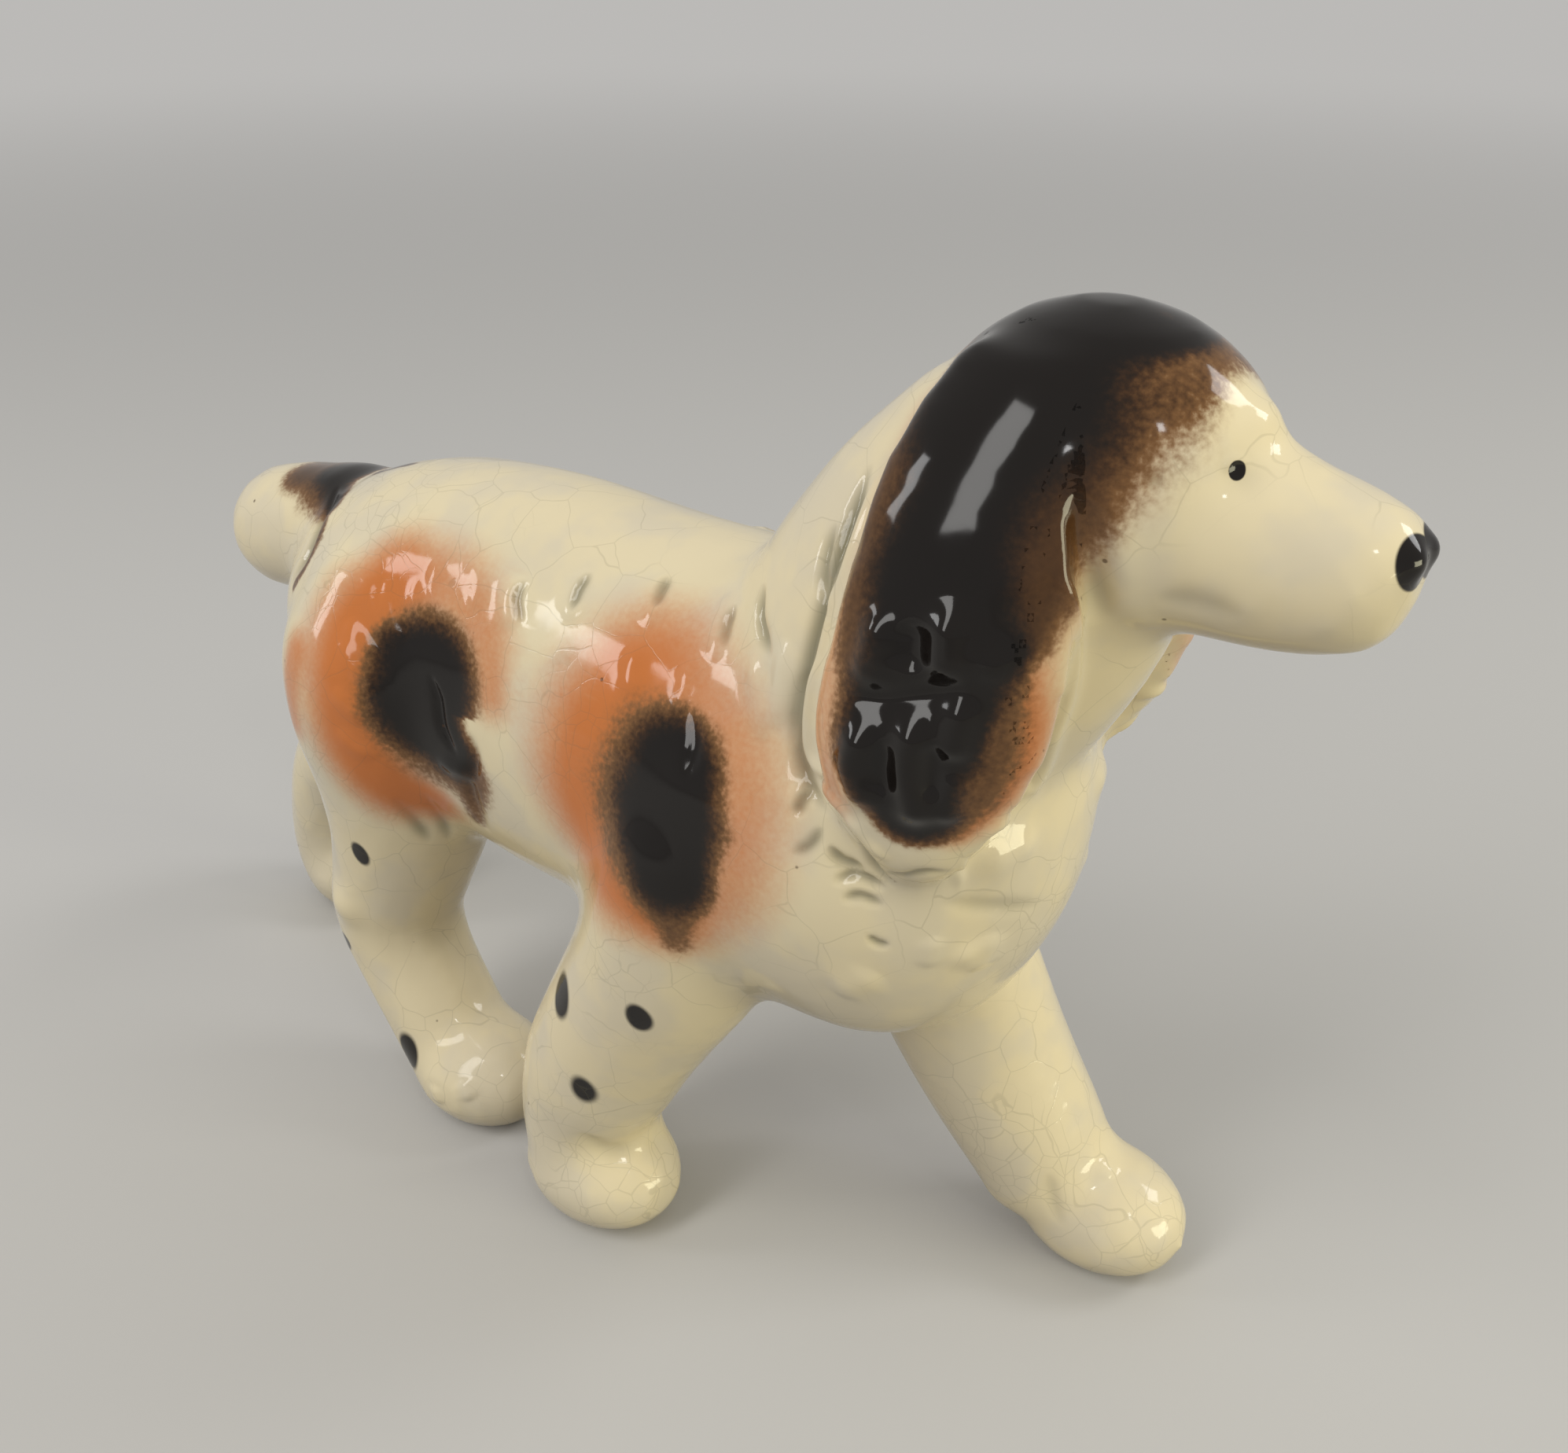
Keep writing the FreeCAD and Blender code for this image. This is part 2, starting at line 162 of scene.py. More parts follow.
def smooth_through(points: Sequence[Sequence[float]], steps: int) -> list[tuple[float, ...]]:
    """Draw a smooth curve through rows of numbers.

    Args:
        points: The rows that the curve passes through.
        steps: How many rows to give for each gap between two points.

    Returns:
        Rows along the curve, the first and the last point among them.
    """
    if len(points) < 3:
        first, last = points[0], points[-1]
        shares = [i / steps for i in range(steps + 1)]
        return [tuple(a + (b - a) * t for a, b in zip(first, last)) for t in shares]
    rows = [tuple(2 * a - b for a, b in zip(points[0], points[1]))]
    rows += [tuple(point) for point in points]
    rows.append(tuple(2 * a - b for a, b in zip(points[-1], points[-2])))
    curve = []
    for before, start, end, after in zip(rows, rows[1:], rows[2:], rows[3:]):
        for step in range(steps):
            t = step / steps
            curve.append(tuple(
                0.5 * (2 * b + (c - a) * t + (2 * a - 5 * b + 4 * c - d) * t * t
                       + (3 * b - a - 3 * c + d) * t ** 3)
                for a, b, c, d in zip(before, start, end, after)
            ))
    curve.append(tuple(points[-1]))
    return curve


@dataclass(frozen=True)
class Ring:
    """An oval cross-section of a form.

    Attributes:
        centre: Its middle.
        along: The direction of the form there.
        across: The direction of its half width.
        half_depth: Half its size square to both.
        half_width: Half its size along across.
    """

    centre: Place
    along: Vector
    across: Vector
    half_depth: float
    half_width: float

    def matrix(self) -> Matrix:
        """Give the matrix that turns a unit circle into this oval.

        Returns:
            The matrix.
        """
        along = self.along.normalized()
        up = along.cross(self.across).normalized()
        side = up.cross(along).normalized()
        turn = Matrix((up * self.half_depth, side * self.half_width, along)).transposed()
        return Matrix.Translation(self.centre) @ turn.to_4x4()


def loft(rings: Sequence[Ring]) -> bmesh.types.BMesh:
    """Join ovals into one closed form.

    Args:
        rings: The ovals, in order.

    Returns:
        A closed mesh whose faces point outwards.
    """
    bm = bmesh.new()
    loops = []
    for ring in rings:
        made = bmesh.ops.create_circle(
            bm, cap_ends=False, radius=1.0, segments=RING_SIDES, matrix=ring.matrix()
        )
        loops.append({edge for vert in made["verts"] for edge in vert.link_edges})
    for lower, upper in zip(loops, loops[1:]):
        bmesh.ops.bridge_loops(bm, edges=list(lower | upper))
    for end in (loops[0], loops[-1]):
        bmesh.ops.contextual_create(bm, geom=list(end))
    bmesh.ops.recalc_face_normals(bm, faces=bm.faces)
    return bm


def ball(centre: Place, half_sizes: Place) -> bmesh.types.BMesh:
    """Make an ellipsoid from its centre and its half sizes along the axes.

    Args:
        centre: Its middle.
        half_sizes: Half its length, width and height.

    Returns:
        A closed mesh.
    """
    bm = bmesh.new()
    bmesh.ops.create_uvsphere(
        bm,
        u_segments=RING_SIDES,
        v_segments=RING_SIDES // 2,
        radius=1.0,
        matrix=Matrix.Translation(centre) @ Matrix.Diagonal((*half_sizes, 1.0)),
    )
    return bm


def sole_places() -> dict[str, Vector]:
    """Give the middle of each sole in millimetres, from the record's mounts."""
    return {
        mount["name"].removesuffix("_sole"): Vector(mount["pos_m"]) / MM
        for mount in frame["record"]["mounts"]
    }


@dataclass
class Trunk:
    """The torso, the neck and the tail.

    Attributes:
        torso: Place ahead, height, half depth and half width of each section.
        neck: The same for each section of the neck, across its leaning axis.
        tail: Place ahead, height and half girth of each section of the tail.
    """

    torso: tuple[tuple[float, ...], ...] = (
        (-58.5, 78.1, 5.7, 5.5),
        (-55.0, 77.5, 13.7, 13.0),
        (-46.0, 76.4, 20.8, 20.0),
        (-31.0, 76.1, 25.4, 22.5),
        (-11.0, 74.2, 29.1, 21.5),
        (9.0, 73.8, 28.4, 23.0),
        (28.6, 73.4, 28.8, 25.0),
        (46.0, 72.9, 28.5, 24.0),
        (57.3, 74.6, 23.4, 19.5),
        (63.5, 76.4, 14.3, 11.5),
        (66.0, 76.9, 5.7, 4.5),
    )
    neck: tuple[tuple[float, ...], ...] = (
        (36.0, 74.0, 22.0, 20.0),
        (43.6, 92.1, 21.8, 19.6),
        (53.4, 108.0, 20.8, 17.4),
        (62.0, 121.2, 17.2, 14.8),
    )
    tail: tuple[tuple[float, ...], ...] = (
        (-50.0, 87.0, 9.8),
        (-59.5, 85.1, 9.8),
        (-69.5, 83.1, 9.6),
        (-74.6, 82.1, 7.9),
        (-77.2, 81.6, 4.8),
        (-78.0, 81.4, 1.9),
    )

    def forms(self) -> list[bmesh.types.BMesh]:
        """Model the three forms.

        Returns:
            The torso, the neck and the tail.
        """
        aside = Vector((0, 1, 0))
        torso = [
            Ring((x, 0, z), Vector((1, 0, 0)), aside, depth, width)
            for x, z, depth, width in smooth_through(self.torso, FEWER_RINGS_BETWEEN)
        ]
        return [
            loft(torso),
            loft(self.leaning(self.neck)),
            loft(self.leaning([(x, z, girth, girth) for x, z, girth in self.tail])),
        ]

    def leaning(self, stations: Sequence[Sequence[float]]) -> list[Ring]:
        """Set ovals across the line from the first station to the last.

        Args:
            stations: Place ahead, height, half depth and half width of each section.

        Returns:
            The ovals, evenly spread between the stations.
        """
        first, last = stations[0], stations[-1]
        along = Vector((last[0] - first[0], 0, last[1] - first[1]))
        return [
            Ring((x, 0, z), along, Vector((0, 1, 0)), depth, width)
            for x, z, depth, width in smooth_through(stations, RINGS_BETWEEN)
        ]


@dataclass
class Head:
    """The skull and the muzzle.

    Attributes:
        skull_centre: The middle of the skull.
        skull_half_sizes: Half its length, width and height.
        muzzle: Place ahead, height, half depth and half width of each section of the muzzle.
    """

    skull_centre: Place = (64.5, 0.0, 121.2)
    skull_half_sizes: Place = (18.5, 15.5, 16.8)
    muzzle: tuple[tuple[float, ...], ...] = (
        (68.0, 118.9, 12.6, 12.9),
        (76.7, 118.5, 11.1, 11.1),
        (84.8, 117.0, 9.4, 9.0),
        (92.4, 116.7, 7.6, 7.3),
        (95.8, 117.3, 5.5, 5.2),
        (97.0, 118.3, 2.7, 2.5),
    )

    def forms(self) -> list[bmesh.types.BMesh]:
        """Model the skull and the muzzle.

        Returns:
            The two closed forms.
        """
        muzzle = [
            Ring((x, 0, z), Vector((1, 0, 0)), Vector((0, 1, 0)), depth, width)
            for x, z, depth, width in smooth_through(self.muzzle, RINGS_BETWEEN)
        ]
        return [ball(self.skull_centre, self.skull_half_sizes), loft(muzzle)]


@dataclass
class Ear:
    """One long ear flap, which hangs from the crown and lies against the neck.

    Attributes:
        side: The side that it hangs on.
        sections: Place ahead, distance from the middle plane, height, half width,
            half thickness and turn in degrees of each level section.
    """

    side: Side
    sections: tuple[tuple[float, ...], ...] = (
        (60.5, 8.5, 134.5, 6.5, 2.8, 0.0),
        (60.5, 13.2, 128.5, 8.8, 4.0, 2.0),
        (60.4, 16.6, 121.0, 10.6, 4.6, 5.0),
        (60.3, 18.2, 113.0, 11.6, 4.9, 9.0),
        (59.6, 19.2, 105.0, 12.2, 5.2, 13.0),
        (58.6, 19.8, 97.0, 12.0, 5.4, 16.0),
        (57.8, 20.2, 90.0, 9.8, 5.0, 18.0),
        (58.0, 20.2, 84.5, 6.4, 4.0, 18.0),
        (58.6, 19.8, 80.5, 2.4, 2.0, 18.0),
    )

    def form(self) -> bmesh.types.BMesh:
        """Model the flap.

        Returns:
            One closed form.
        """
        rings = []
        for section in smooth_through(self.sections, RINGS_BETWEEN):
            x, aside, z, width, thickness, turn = section
            angle = math.radians(turn)
            ahead = Vector((math.cos(angle), -self.side.value * math.sin(angle), 0))
            centre = (x, self.side.value * aside, z)
            rings.append(Ring(centre, Vector((0, 0, -1)), ahead, thickness, width))
        return loft(rings)


@dataclass
class Leg:
    """One leg with its paw.

    Attributes:
        name: The node that the lower leg stands for.
        bones: Place ahead, distance aside, height and half girth of each section.
        paw_half_sizes: Half the paw's length, width and depth.
        paw_height: Height of the paw's middle above the sole.
    """

    name: str
    bones: tuple[tuple[float, ...], ...]
    paw_half_sizes: Place = (12.5, 9.8, 8.8)
    paw_height: float = 7.2

    def forms(self, sole: Vector) -> list[bmesh.types.BMesh]:
        """Model the leg and its paw.

        Args:
            sole: The middle of its sole.

        Returns:
            Two closed forms.
        """
        stations = smooth_through(self.bones, FEWER_RINGS_BETWEEN)
        rings = []
        for i, (x, y, z, girth) in enumerate(stations):
            above = stations[max(i - 1, 0)]
            below = stations[min(i + 1, len(stations) - 1)]
            along = Vector((below[0] - above[0], 0, below[2] - above[2]))
            rings.append(Ring((x, y, z), along, Vector((0, 1, 0)), girth, girth))
        paw = ball((sole.x, sole.y, sole.z + self.paw_height), self.paw_half_sizes)
        return [loft(rings), paw]


LEGS = (
    Leg("foreleg_right", (
        (28.0, -11.5, 84.0, 9.0),
        (26.0, -12.3, 72.2, 14.5),
        (21.9, -13.1, 59.6, 13.9),
        (18.6, -13.7, 50.4, 13.1),
        (14.1, -14.3, 42.0, 12.3),
        (9.1, -14.9, 32.8, 11.7),
        (5.5, -15.4, 25.2, 11.3),
        (2.6, -15.9, 16.8, 9.9),
        (3.5, -16.4, 9.2, 9.6),
    )),
    Leg("foreleg_left", (
        (30.0, 11.5, 84.0, 8.6),
        (31.9, 12.6, 72.2, 13.8),
        (35.3, 13.7, 59.6, 13.2),
        (38.5, 14.5, 50.4, 12.6),
        (43.2, 15.4, 40.3, 12.1),
        (49.6, 16.5, 27.7, 11.3),
        (56.8, 17.6, 16.0, 10.3),
        (60.6, 18.3, 8.4, 9.3),
    )),
    Leg("hind_leg_right", (
        (-32.6, -9.0, 92.0, 10.1),
        (-33.3, -9.5, 80.0, 16.8),
        (-33.9, -10.0, 68.1, 17.1),
        (-34.8, -10.5, 57.0, 14.3),
        (-36.6, -11.0, 46.9, 12.0),
        (-39.4, -11.4, 37.7, 10.6),
        (-41.2, -11.7, 30.4, 9.9),
        (-38.4, -12.0, 22.1, 9.0),
        (-32.8, -12.4, 13.8, 8.7),
        (-28.8, -12.6, 8.3, 8.7),
    )),
    Leg("hind_leg_left", (
        (-32.0, 9.0, 92.0, 9.6),
        (-34.1, 9.5, 80.0, 16.5),
        (-39.3, 10.0, 68.1, 16.9),
        (-49.2, 10.5, 58.0, 14.4),
        (-62.2, 10.9, 47.8, 12.2),
        (-74.1, 11.3, 38.6, 10.8),
        (-81.9, 11.7, 30.4, 9.7),
        (-86.1, 12.0, 22.1, 9.0),
        (-88.2, 12.4, 13.8, 8.7),
        (-87.6, 12.6, 8.3, 8.7),
    )),
)


@dataclass(frozen=True)
class Trail:
    """A line drawn on the skin.

    Attributes:
        pixels: Points of the photograph that it passes through, or none.
        places: Places in millimetres that it passes near, where the photograph doesn't show it.
        mirrored: True if the other side of the dog has the same line.
    """

    pixels: tuple[Pixel, ...] = ()
    places: tuple[Place, ...] = ()
    mirrored: bool = False


@dataclass(frozen=True)
class Stroke:
    """A stroke of the modelling tool.

    Attributes:
        trail: Where it goes.
        half_width: Half its width at its widest.
        height: How far it raises the clay, or less than zero to press it in.
        taper: Share of its length over which each end runs out, or 0 for round ends.
        stain: How much the glaze pools where it presses the clay in, with painted shade there, from 0 to
            1.
    """

    trail: Trail
    half_width: float
    height: float
    taper: float = 0.35
    # Pressing the clay in darkens its colour there: partly pooled glaze, partly painted shade.
    stain: float = 1.0


@dataclass(frozen=True)
class Spray:
    """A pass of the airbrush.

    Attributes:
        pigment: Its colour.
        trail: Where it goes.
        radii: Its radius at each point of the trail, in millimetres.
        softness: Share of the radius over which its edge fades.
        strength: How dense it is in the middle, from 0 to 1.
    """

    pigment: Pigment
    trail: Trail
    radii: tuple[float, ...]
    softness: float = 0.5
    strength: float = 1.0


class Skin:
    """The whole outside of the figure as one mesh in millimetres.

    Attributes:
        mesh: The mesh.
        places: The place of each vertex.
        normals: The outward direction at each vertex.
        edges: The two vertices of each edge.
        valence: The number of edges that meet at each vertex.
    """

    COARSE_STEP = 1.7
    SUBDIVISIONS = 2
    FILLET_PASSES = 14
    FILLET_SHARE = 0.5
    RELAX_PASSES = 8
    RELAX_IN = 0.5
    RELAX_OUT = -0.53

    def __init__(self, forms: Iterable[bmesh.types.BMesh]) -> None:
        """Melt the forms into one skin.

        Args:
            forms: Closed meshes in millimetres, which are freed.
        """
        scratch = bpy.data.meshes.new("forms")
        whole = bmesh.new()
        for form in forms:
            form.to_mesh(scratch)
            whole.from_mesh(scratch)
            form.free()
        whole.to_mesh(scratch)
        whole.free()
        self.mesh = self.modified(scratch, "REMESH", mode="VOXEL", voxel_size=self.COARSE_STEP)
        self.read()
        self.fillet(self.FILLET_PASSES)
        for _ in range(self.RELAX_PASSES):
            self.relax(self.RELAX_IN)
            self.relax(self.RELAX_OUT)
        self.write()
        self.mesh = self.modified(
            self.mesh, "SUBSURF", levels=self.SUBDIVISIONS, render_levels=self.SUBDIVISIONS
        )
        self.read()
        log.info("skin: %d vertices", len(self.places))

    @staticmethod
    def modified(mesh: bpy.types.Mesh, kind: str, **settings: object) -> bpy.types.Mesh:
        """Apply one modifier to a mesh.

        Args:
            mesh: The mesh, which is removed.
            kind: The kind of modifier.
            settings: The modifier's settings.

        Returns:
            The changed mesh.
        """
        holder = bpy.data.objects.new("holder", mesh)
        bpy.context.scene.collection.objects.link(holder)
        modifier = holder.modifiers.new(kind.lower(), kind)
        for name, value in settings.items():
            setattr(modifier, name, value)
        graph = bpy.context.evaluated_depsgraph_get()
        changed = bpy.data.meshes.new_from_object(
            holder.evaluated_get(graph), preserve_all_data_layers=True, depsgraph=graph)
        bpy.data.objects.remove(holder)
        bpy.data.meshes.remove(mesh)
        return changed

    def read(self) -> None:
        """Read the vertices, their normals and the edges from the mesh."""
        self.places = self.rows(self.mesh.vertices, "co")
        self.normals = self.rows(self.mesh.vertex_normals, "vector")
        ends = np.empty(len(self.mesh.edges) * 2, np.int32)
        self.mesh.edges.foreach_get("vertices", ends)
        self.edges = ends.reshape(-1, 2)
        self.valence = np.bincount(self.edges.ravel(), minlength=len(self.places))

    @staticmethod
    def rows(items: "bpy.types.bpy_prop_collection", name: str) -> np.ndarray:
        """Read a row of three numbers from each of a mesh's items.

        Args:
            items: The items, such as its vertices.
            name: What to read of each.

        Returns:
            One row for each item.
        """
        flat = np.empty(len(items) * 3, np.float32)
        items.foreach_get(name, flat)
        return flat.reshape(-1, 3).astype(float)

    def write(self) -> None:
        """Write the places back to the mesh and read the new normals."""
        self.mesh.vertices.foreach_set("co", self.places.astype(np.float32).ravel())
        self.mesh.update()
        self.normals = self.rows(self.mesh.vertex_normals, "vector")

    def around(self, values: np.ndarray) -> np.ndarray:
        """Give the mean of each vertex's neighbours.

        Args:
            values: A number or a row of numbers for each vertex.

        Returns:
            An array of the same shape.
        """
        first, second = self.edges[:, 0], self.edges[:, 1]
        count = len(self.valence)
        columns = values.reshape(count, -1)
        total = np.empty_like(columns)
        for i, column in enumerate(columns.T):
            total[:, i] = np.bincount(first, column[second], count)
            total[:, i] += np.bincount(second, column[first], count)
        return (total / self.valence[:, None]).reshape(values.shape)

    def relax(self, share: float) -> None:
        """Move each vertex a share of the way to the middle of its neighbours."""
        self.places += share * (self.around(self.places) - self.places)

    def fillet(self, passes: int) -> None:
        """Fill the hollows where forms meet, and leave what bulges as it is.

        Args:
            passes: How often to go over the skin.
        """
        for _ in range(passes):
            step = self.around(self.places) - self.places
            outward = np.einsum("ij,ij->i", step, self.normals) > 0
            self.places[outward] += self.FILLET_SHARE * step[outward]
            self.write()

    def tree(self) -> BVHTree:
        """Give a search tree of the skin as it is now."""
        faces = [tuple(polygon.vertices) for polygon in self.mesh.polygons]
        return BVHTree.FromPolygons([Vector(place) for place in self.places], faces)


class Modeller:
    """Draws lines on the skin and presses, raises and colours the skin along them.

    Attributes:
        skin: The skin.
        camera: The viewpoint that pixels are seen from.
        tree: A search tree of the skin before its relief.
        offset: How far each vertex is raised, in millimetres.
        stain: How much the glaze pools at each vertex, with painted shade in the hollows, from 0 to 1.
        colours: The density of each pigment at each vertex, from 0 to 1.
        missed: Pixels that don't land on the skin.
    """

    LINE_STEPS = 6
    STROKE_REACH = 2.6
    STROKE_FALL = 1.4
    TIP_WIDTH = 0.45
    SPRAY_MARGIN = 0.5

    def __init__(self, skin: Skin, camera: PhotoCamera) -> None:
        """Set up the sheets of offsets and colours for a skin.

        Args:
            skin: The skin.
            camera: The viewpoint of the photograph.
        """
        self.skin = skin
        self.camera = camera
        self.tree = skin.tree()
        count = len(skin.places)
        self.offset = np.zeros(count)
        self.stain = np.zeros(count)
        self.colours = {pigment: np.zeros(count) for pigment in Pigment}
        self.missed: list[Pixel] = []

    def lands(self, pixel: Pixel) -> Place | None:
        """Give the place on the skin that a pixel of the photograph shows, if any.

        Args:
            pixel: Column and row in the photograph.

        Returns:
            The place in millimetres, or none where the pixel shows the background.
        """
        start = Vector(self.camera.place)
        place = self.tree.ray_cast(start, self.camera.ray(pixel))[0]
        if place is None:
            self.missed.append(pixel)
            return None
        return tuple(place)

    def on_skin(self, place: Place) -> Place:
        """Give the point of the skin that is nearest to a place."""
        return tuple(self.tree.find_nearest(Vector(place))[0])

    def lines(self, trail: Trail) -> list[np.ndarray]:
        """Lay a trail on the skin.

        Args:
            trail: The trail.

        Returns:
            One row of points, or two if it is mirrored.
        """
        found = [self.lands(pixel) for pixel in trail.pixels]
        points = [place for place in found if place is not None]
        points += [self.on_skin(place) for place in trail.places]
        if not points:
            return []
        sets = [points]
        if trail.mirrored:
            sets.append([self.on_skin((x, -y, z)) for x, y, z in points])
        return [
            np.array(smooth_through(each, self.LINE_STEPS) if len(each) > 1 else each)
            for each in sets
        ]

    def near(self, line: np.ndarray, reach: float) -> tuple[np.ndarray, np.ndarray, np.ndarray]:
        """Find the vertices near a line.

        Args:
            line: Points of the line.
            reach: How far from it to look.

        Returns:
            Their numbers, their distances, and how far along the line each lies, from 0 to 1.
        """
        places = self.skin.places
        low, high = line.min(0) - reach, line.max(0) + reach
        picked = np.flatnonzero(((places > low) & (places < high)).all(1))
        points = places[picked]
        if len(line) == 1:
            apart = np.linalg.norm(points - line[0], axis=1)
            return picked, apart, np.full(len(picked), 0.5)
        best = np.full(len(picked), np.inf)
        share = np.zeros(len(picked))
        lengths = np.linalg.norm(np.diff(line, axis=0), axis=1)
        starts = np.concatenate(([0.0], np.cumsum(lengths)))
        for i, (start, end) in enumerate(zip(line, line[1:])):
            run = end - start
            t = np.clip(((points - start) @ run) / max(run @ run, TINY), 0, 1)
            apart = np.linalg.norm(points - start - t[:, None] * run, axis=1)
            nearer = apart < best
            best[nearer] = apart[nearer]
            share[nearer] = (starts[i] + t[nearer] * lengths[i]) / max(starts[-1], TINY)
        return picked, best, share

    def stroke(self, stroke: Stroke) -> None:
        """Lay one stroke of the modelling tool.

        Args:
            stroke: The stroke.
        """
        for line in self.lines(stroke.trail):
            picked, apart, share = self.near(line, stroke.half_width * self.STROKE_REACH)
            if len(line) > 1 and stroke.taper > 0:
                ends = np.minimum(share, 1 - share) / stroke.taper
                run = np.sin(np.clip(ends, 0, 1) * math.pi / 2)
            else:
                run = np.ones(len(picked))
            width = stroke.half_width * (self.TIP_WIDTH + (1 - self.TIP_WIDTH) * run)
            raised = stroke.height * run * np.exp(-((apart / width) ** 2) * self.STROKE_FALL)
            self.offset[picked] += raised
            # Pressed-in clay is darkened: partly pooled glaze, partly painted shade in the groove.
            if stroke.height < 0:
                pooled_and_shaded = stroke.stain * raised / stroke.height
                self.stain[picked] = np.maximum(self.stain[picked], pooled_and_shaded)

    def spray(self, spray: Spray) -> None:
        """Lay one pass of the airbrush.

        Args:
            spray: The pass.
        """
        sheet = self.colours[spray.pigment]
        reach = max(spray.radii) * (1 + spray.softness) + self.SPRAY_MARGIN
        for line in self.lines(spray.trail):
            picked, apart, share = self.near(line, reach)
            knots = np.linspace(0, 1, len(spray.radii))
            radius = np.interp(share, knots, spray.radii)
            inner, outer = radius * (1 - spray.softness), radius * (1 + spray.softness)
            t = np.clip((outer - apart) / (outer - inner), 0, 1)
            dense = spray.strength * t * t * (3 - 2 * t)
            sheet[picked] = 1 - (1 - sheet[picked]) * (1 - dense)

    def settle(self) -> None:
        """Move the skin by what the strokes raised and pressed."""
        self.skin.places += self.offset[:, None] * self.skin.normals
        self.offset[:] = 0
        self.skin.write()


def drawn(*pixels: Pixel, mirrored: bool = False) -> Trail:
    """Give a trail through pixels of the photograph."""
    return Trail(pixels=pixels, mirrored=mirrored)


def both(*pixels: Pixel) -> Trail:
    """Give a trail through pixels of the photograph, and the same on the other side of the dog."""
    return drawn(*pixels, mirrored=True)


def placed(*places: Place, mirrored: bool = False) -> Trail:
    """Give a trail near places in millimetres."""
    return Trail(places=places, mirrored=mirrored)


def lock(*pixels: Pixel, width: float, height: float) -> Stroke:
    """Give a raised lock of hair on both sides of the dog.

    Args:
        pixels: Points of the photograph that it passes through.
        width: Half its width in millimetres.
        height: How far it stands out, in millimetres.

    Returns:
        Its stroke.
    """
    return Stroke(both(*pixels), width, height)


def furrow(*pixels: Pixel, width: float, depth: float, mirrored: bool = True,
           stain: float = 0.8) -> Stroke:
    """Give a groove.

    Args:
        pixels: Points of the photograph that it passes through.
        width: Half its width in millimetres.
        depth: How far it is pressed in, in millimetres.
        mirrored: True if the other side of the dog has the same groove.
        stain: How much the glaze pools in it, with painted shade there, from 0 to 1.

    Returns:
        Its stroke.
    """
    return Stroke(drawn(*pixels, mirrored=mirrored), width, -depth, stain=stain)


HAUNCH_LOCKS = (
    lock((470, 722), (470, 764), (486, 800), (512, 822), width=1.9, height=0.34),
    lock((492, 736), (494, 780), (516, 816), width=1.3, height=0.24),
    lock((444, 786), (454, 822), (486, 846), width=1.9, height=0.38),
    lock((434, 812), (446, 846), (480, 864), width=1.5, height=0.3),
    lock((426, 872), (438, 898), (470, 914), width=1.8, height=0.34),
    lock((428, 926), (448, 950), (482, 962), width=1.6, height=0.24),
    lock((558, 708), (552, 752), (576, 792), width=1.5, height=0.26),
    lock((528, 734), (530, 772), (552, 804), width=1.4, height=0.22),
    lock((598, 706), (608, 744), (600, 780), width=1.9, height=0.26),
    furrow((546, 856), (556, 890), (562, 926), (580, 960), width=0.9, depth=0.55),
    furrow((597, 930), (604, 962), (598, 1006), (622, 1058), width=1.4, depth=0.6),
    lock((556, 968), (590, 984), (612, 1010), width=1.6, height=0.35),
    furrow((500, 1015), (528, 1046), (548, 1072), width=1.3, depth=0.3),
    furrow((538, 1008), (560, 1040), (572, 1068), width=1.1, depth=0.25),
)

FLANK_LOCKS = (
    lock((661, 732), (650, 764), (656, 800), width=2.4, height=0.45),
    furrow((668, 738), (658, 764), (664, 794), width=1.0, depth=0.52),
    lock((748, 726), (733, 756), (724, 794), width=2.1, height=0.54),
    furrow((752, 728), (738, 752), (728, 780), width=0.9, depth=0.6),
    lock((848, 724), (836, 754), (828, 800), width=2.1, height=0.51),
    furrow((852, 734), (842, 754), (834, 776), width=0.9, depth=0.6),
    lock((930, 752), (916, 790), (910, 842), width=2.0, height=0.51),
    furrow((936, 768), (926, 796), (922, 826), width=0.9, depth=0.45),
    lock((812, 818), (802, 856), (806, 890), width=1.8, height=0.33),
    lock((873, 838), (874, 870), (862, 906), width=1.7, height=0.33),
    furrow((972, 742), (964, 784), (980, 836), width=1.2, depth=0.75),
    lock((958, 826), (962, 880), (970, 944), width=1.8, height=0.51),
    lock((1000, 812), (994, 866), (984, 930), width=1.8, height=0.57),
    furrow((880, 900), (884, 944), (872, 990), width=1.2, depth=0.38),
)

SHOULDER_LOCKS = (
    lock((1078, 652), (1064, 694), (1056, 736), (1060, 780), width=1.3, height=0.5),
    furrow((1064, 664), (1050, 712), (1044, 770), width=1.2, depth=0.55),
    lock((1048, 836), (1028, 880), (1018, 930), (1022, 980), width=1.5, height=0.4),
    furrow((1027, 850), (1014, 898), (1006, 952), width=1.1, depth=0.5),
    lock((1026, 992), (1016, 1010), (1006, 1032), width=1.1, height=0.35),
    furrow((1034, 1000), (1020, 1020), (1012, 1040), width=0.9, depth=0.4),
    furrow((1046, 1052), (1030, 1074), (1006, 1086), width=0.8, depth=0.3),
)

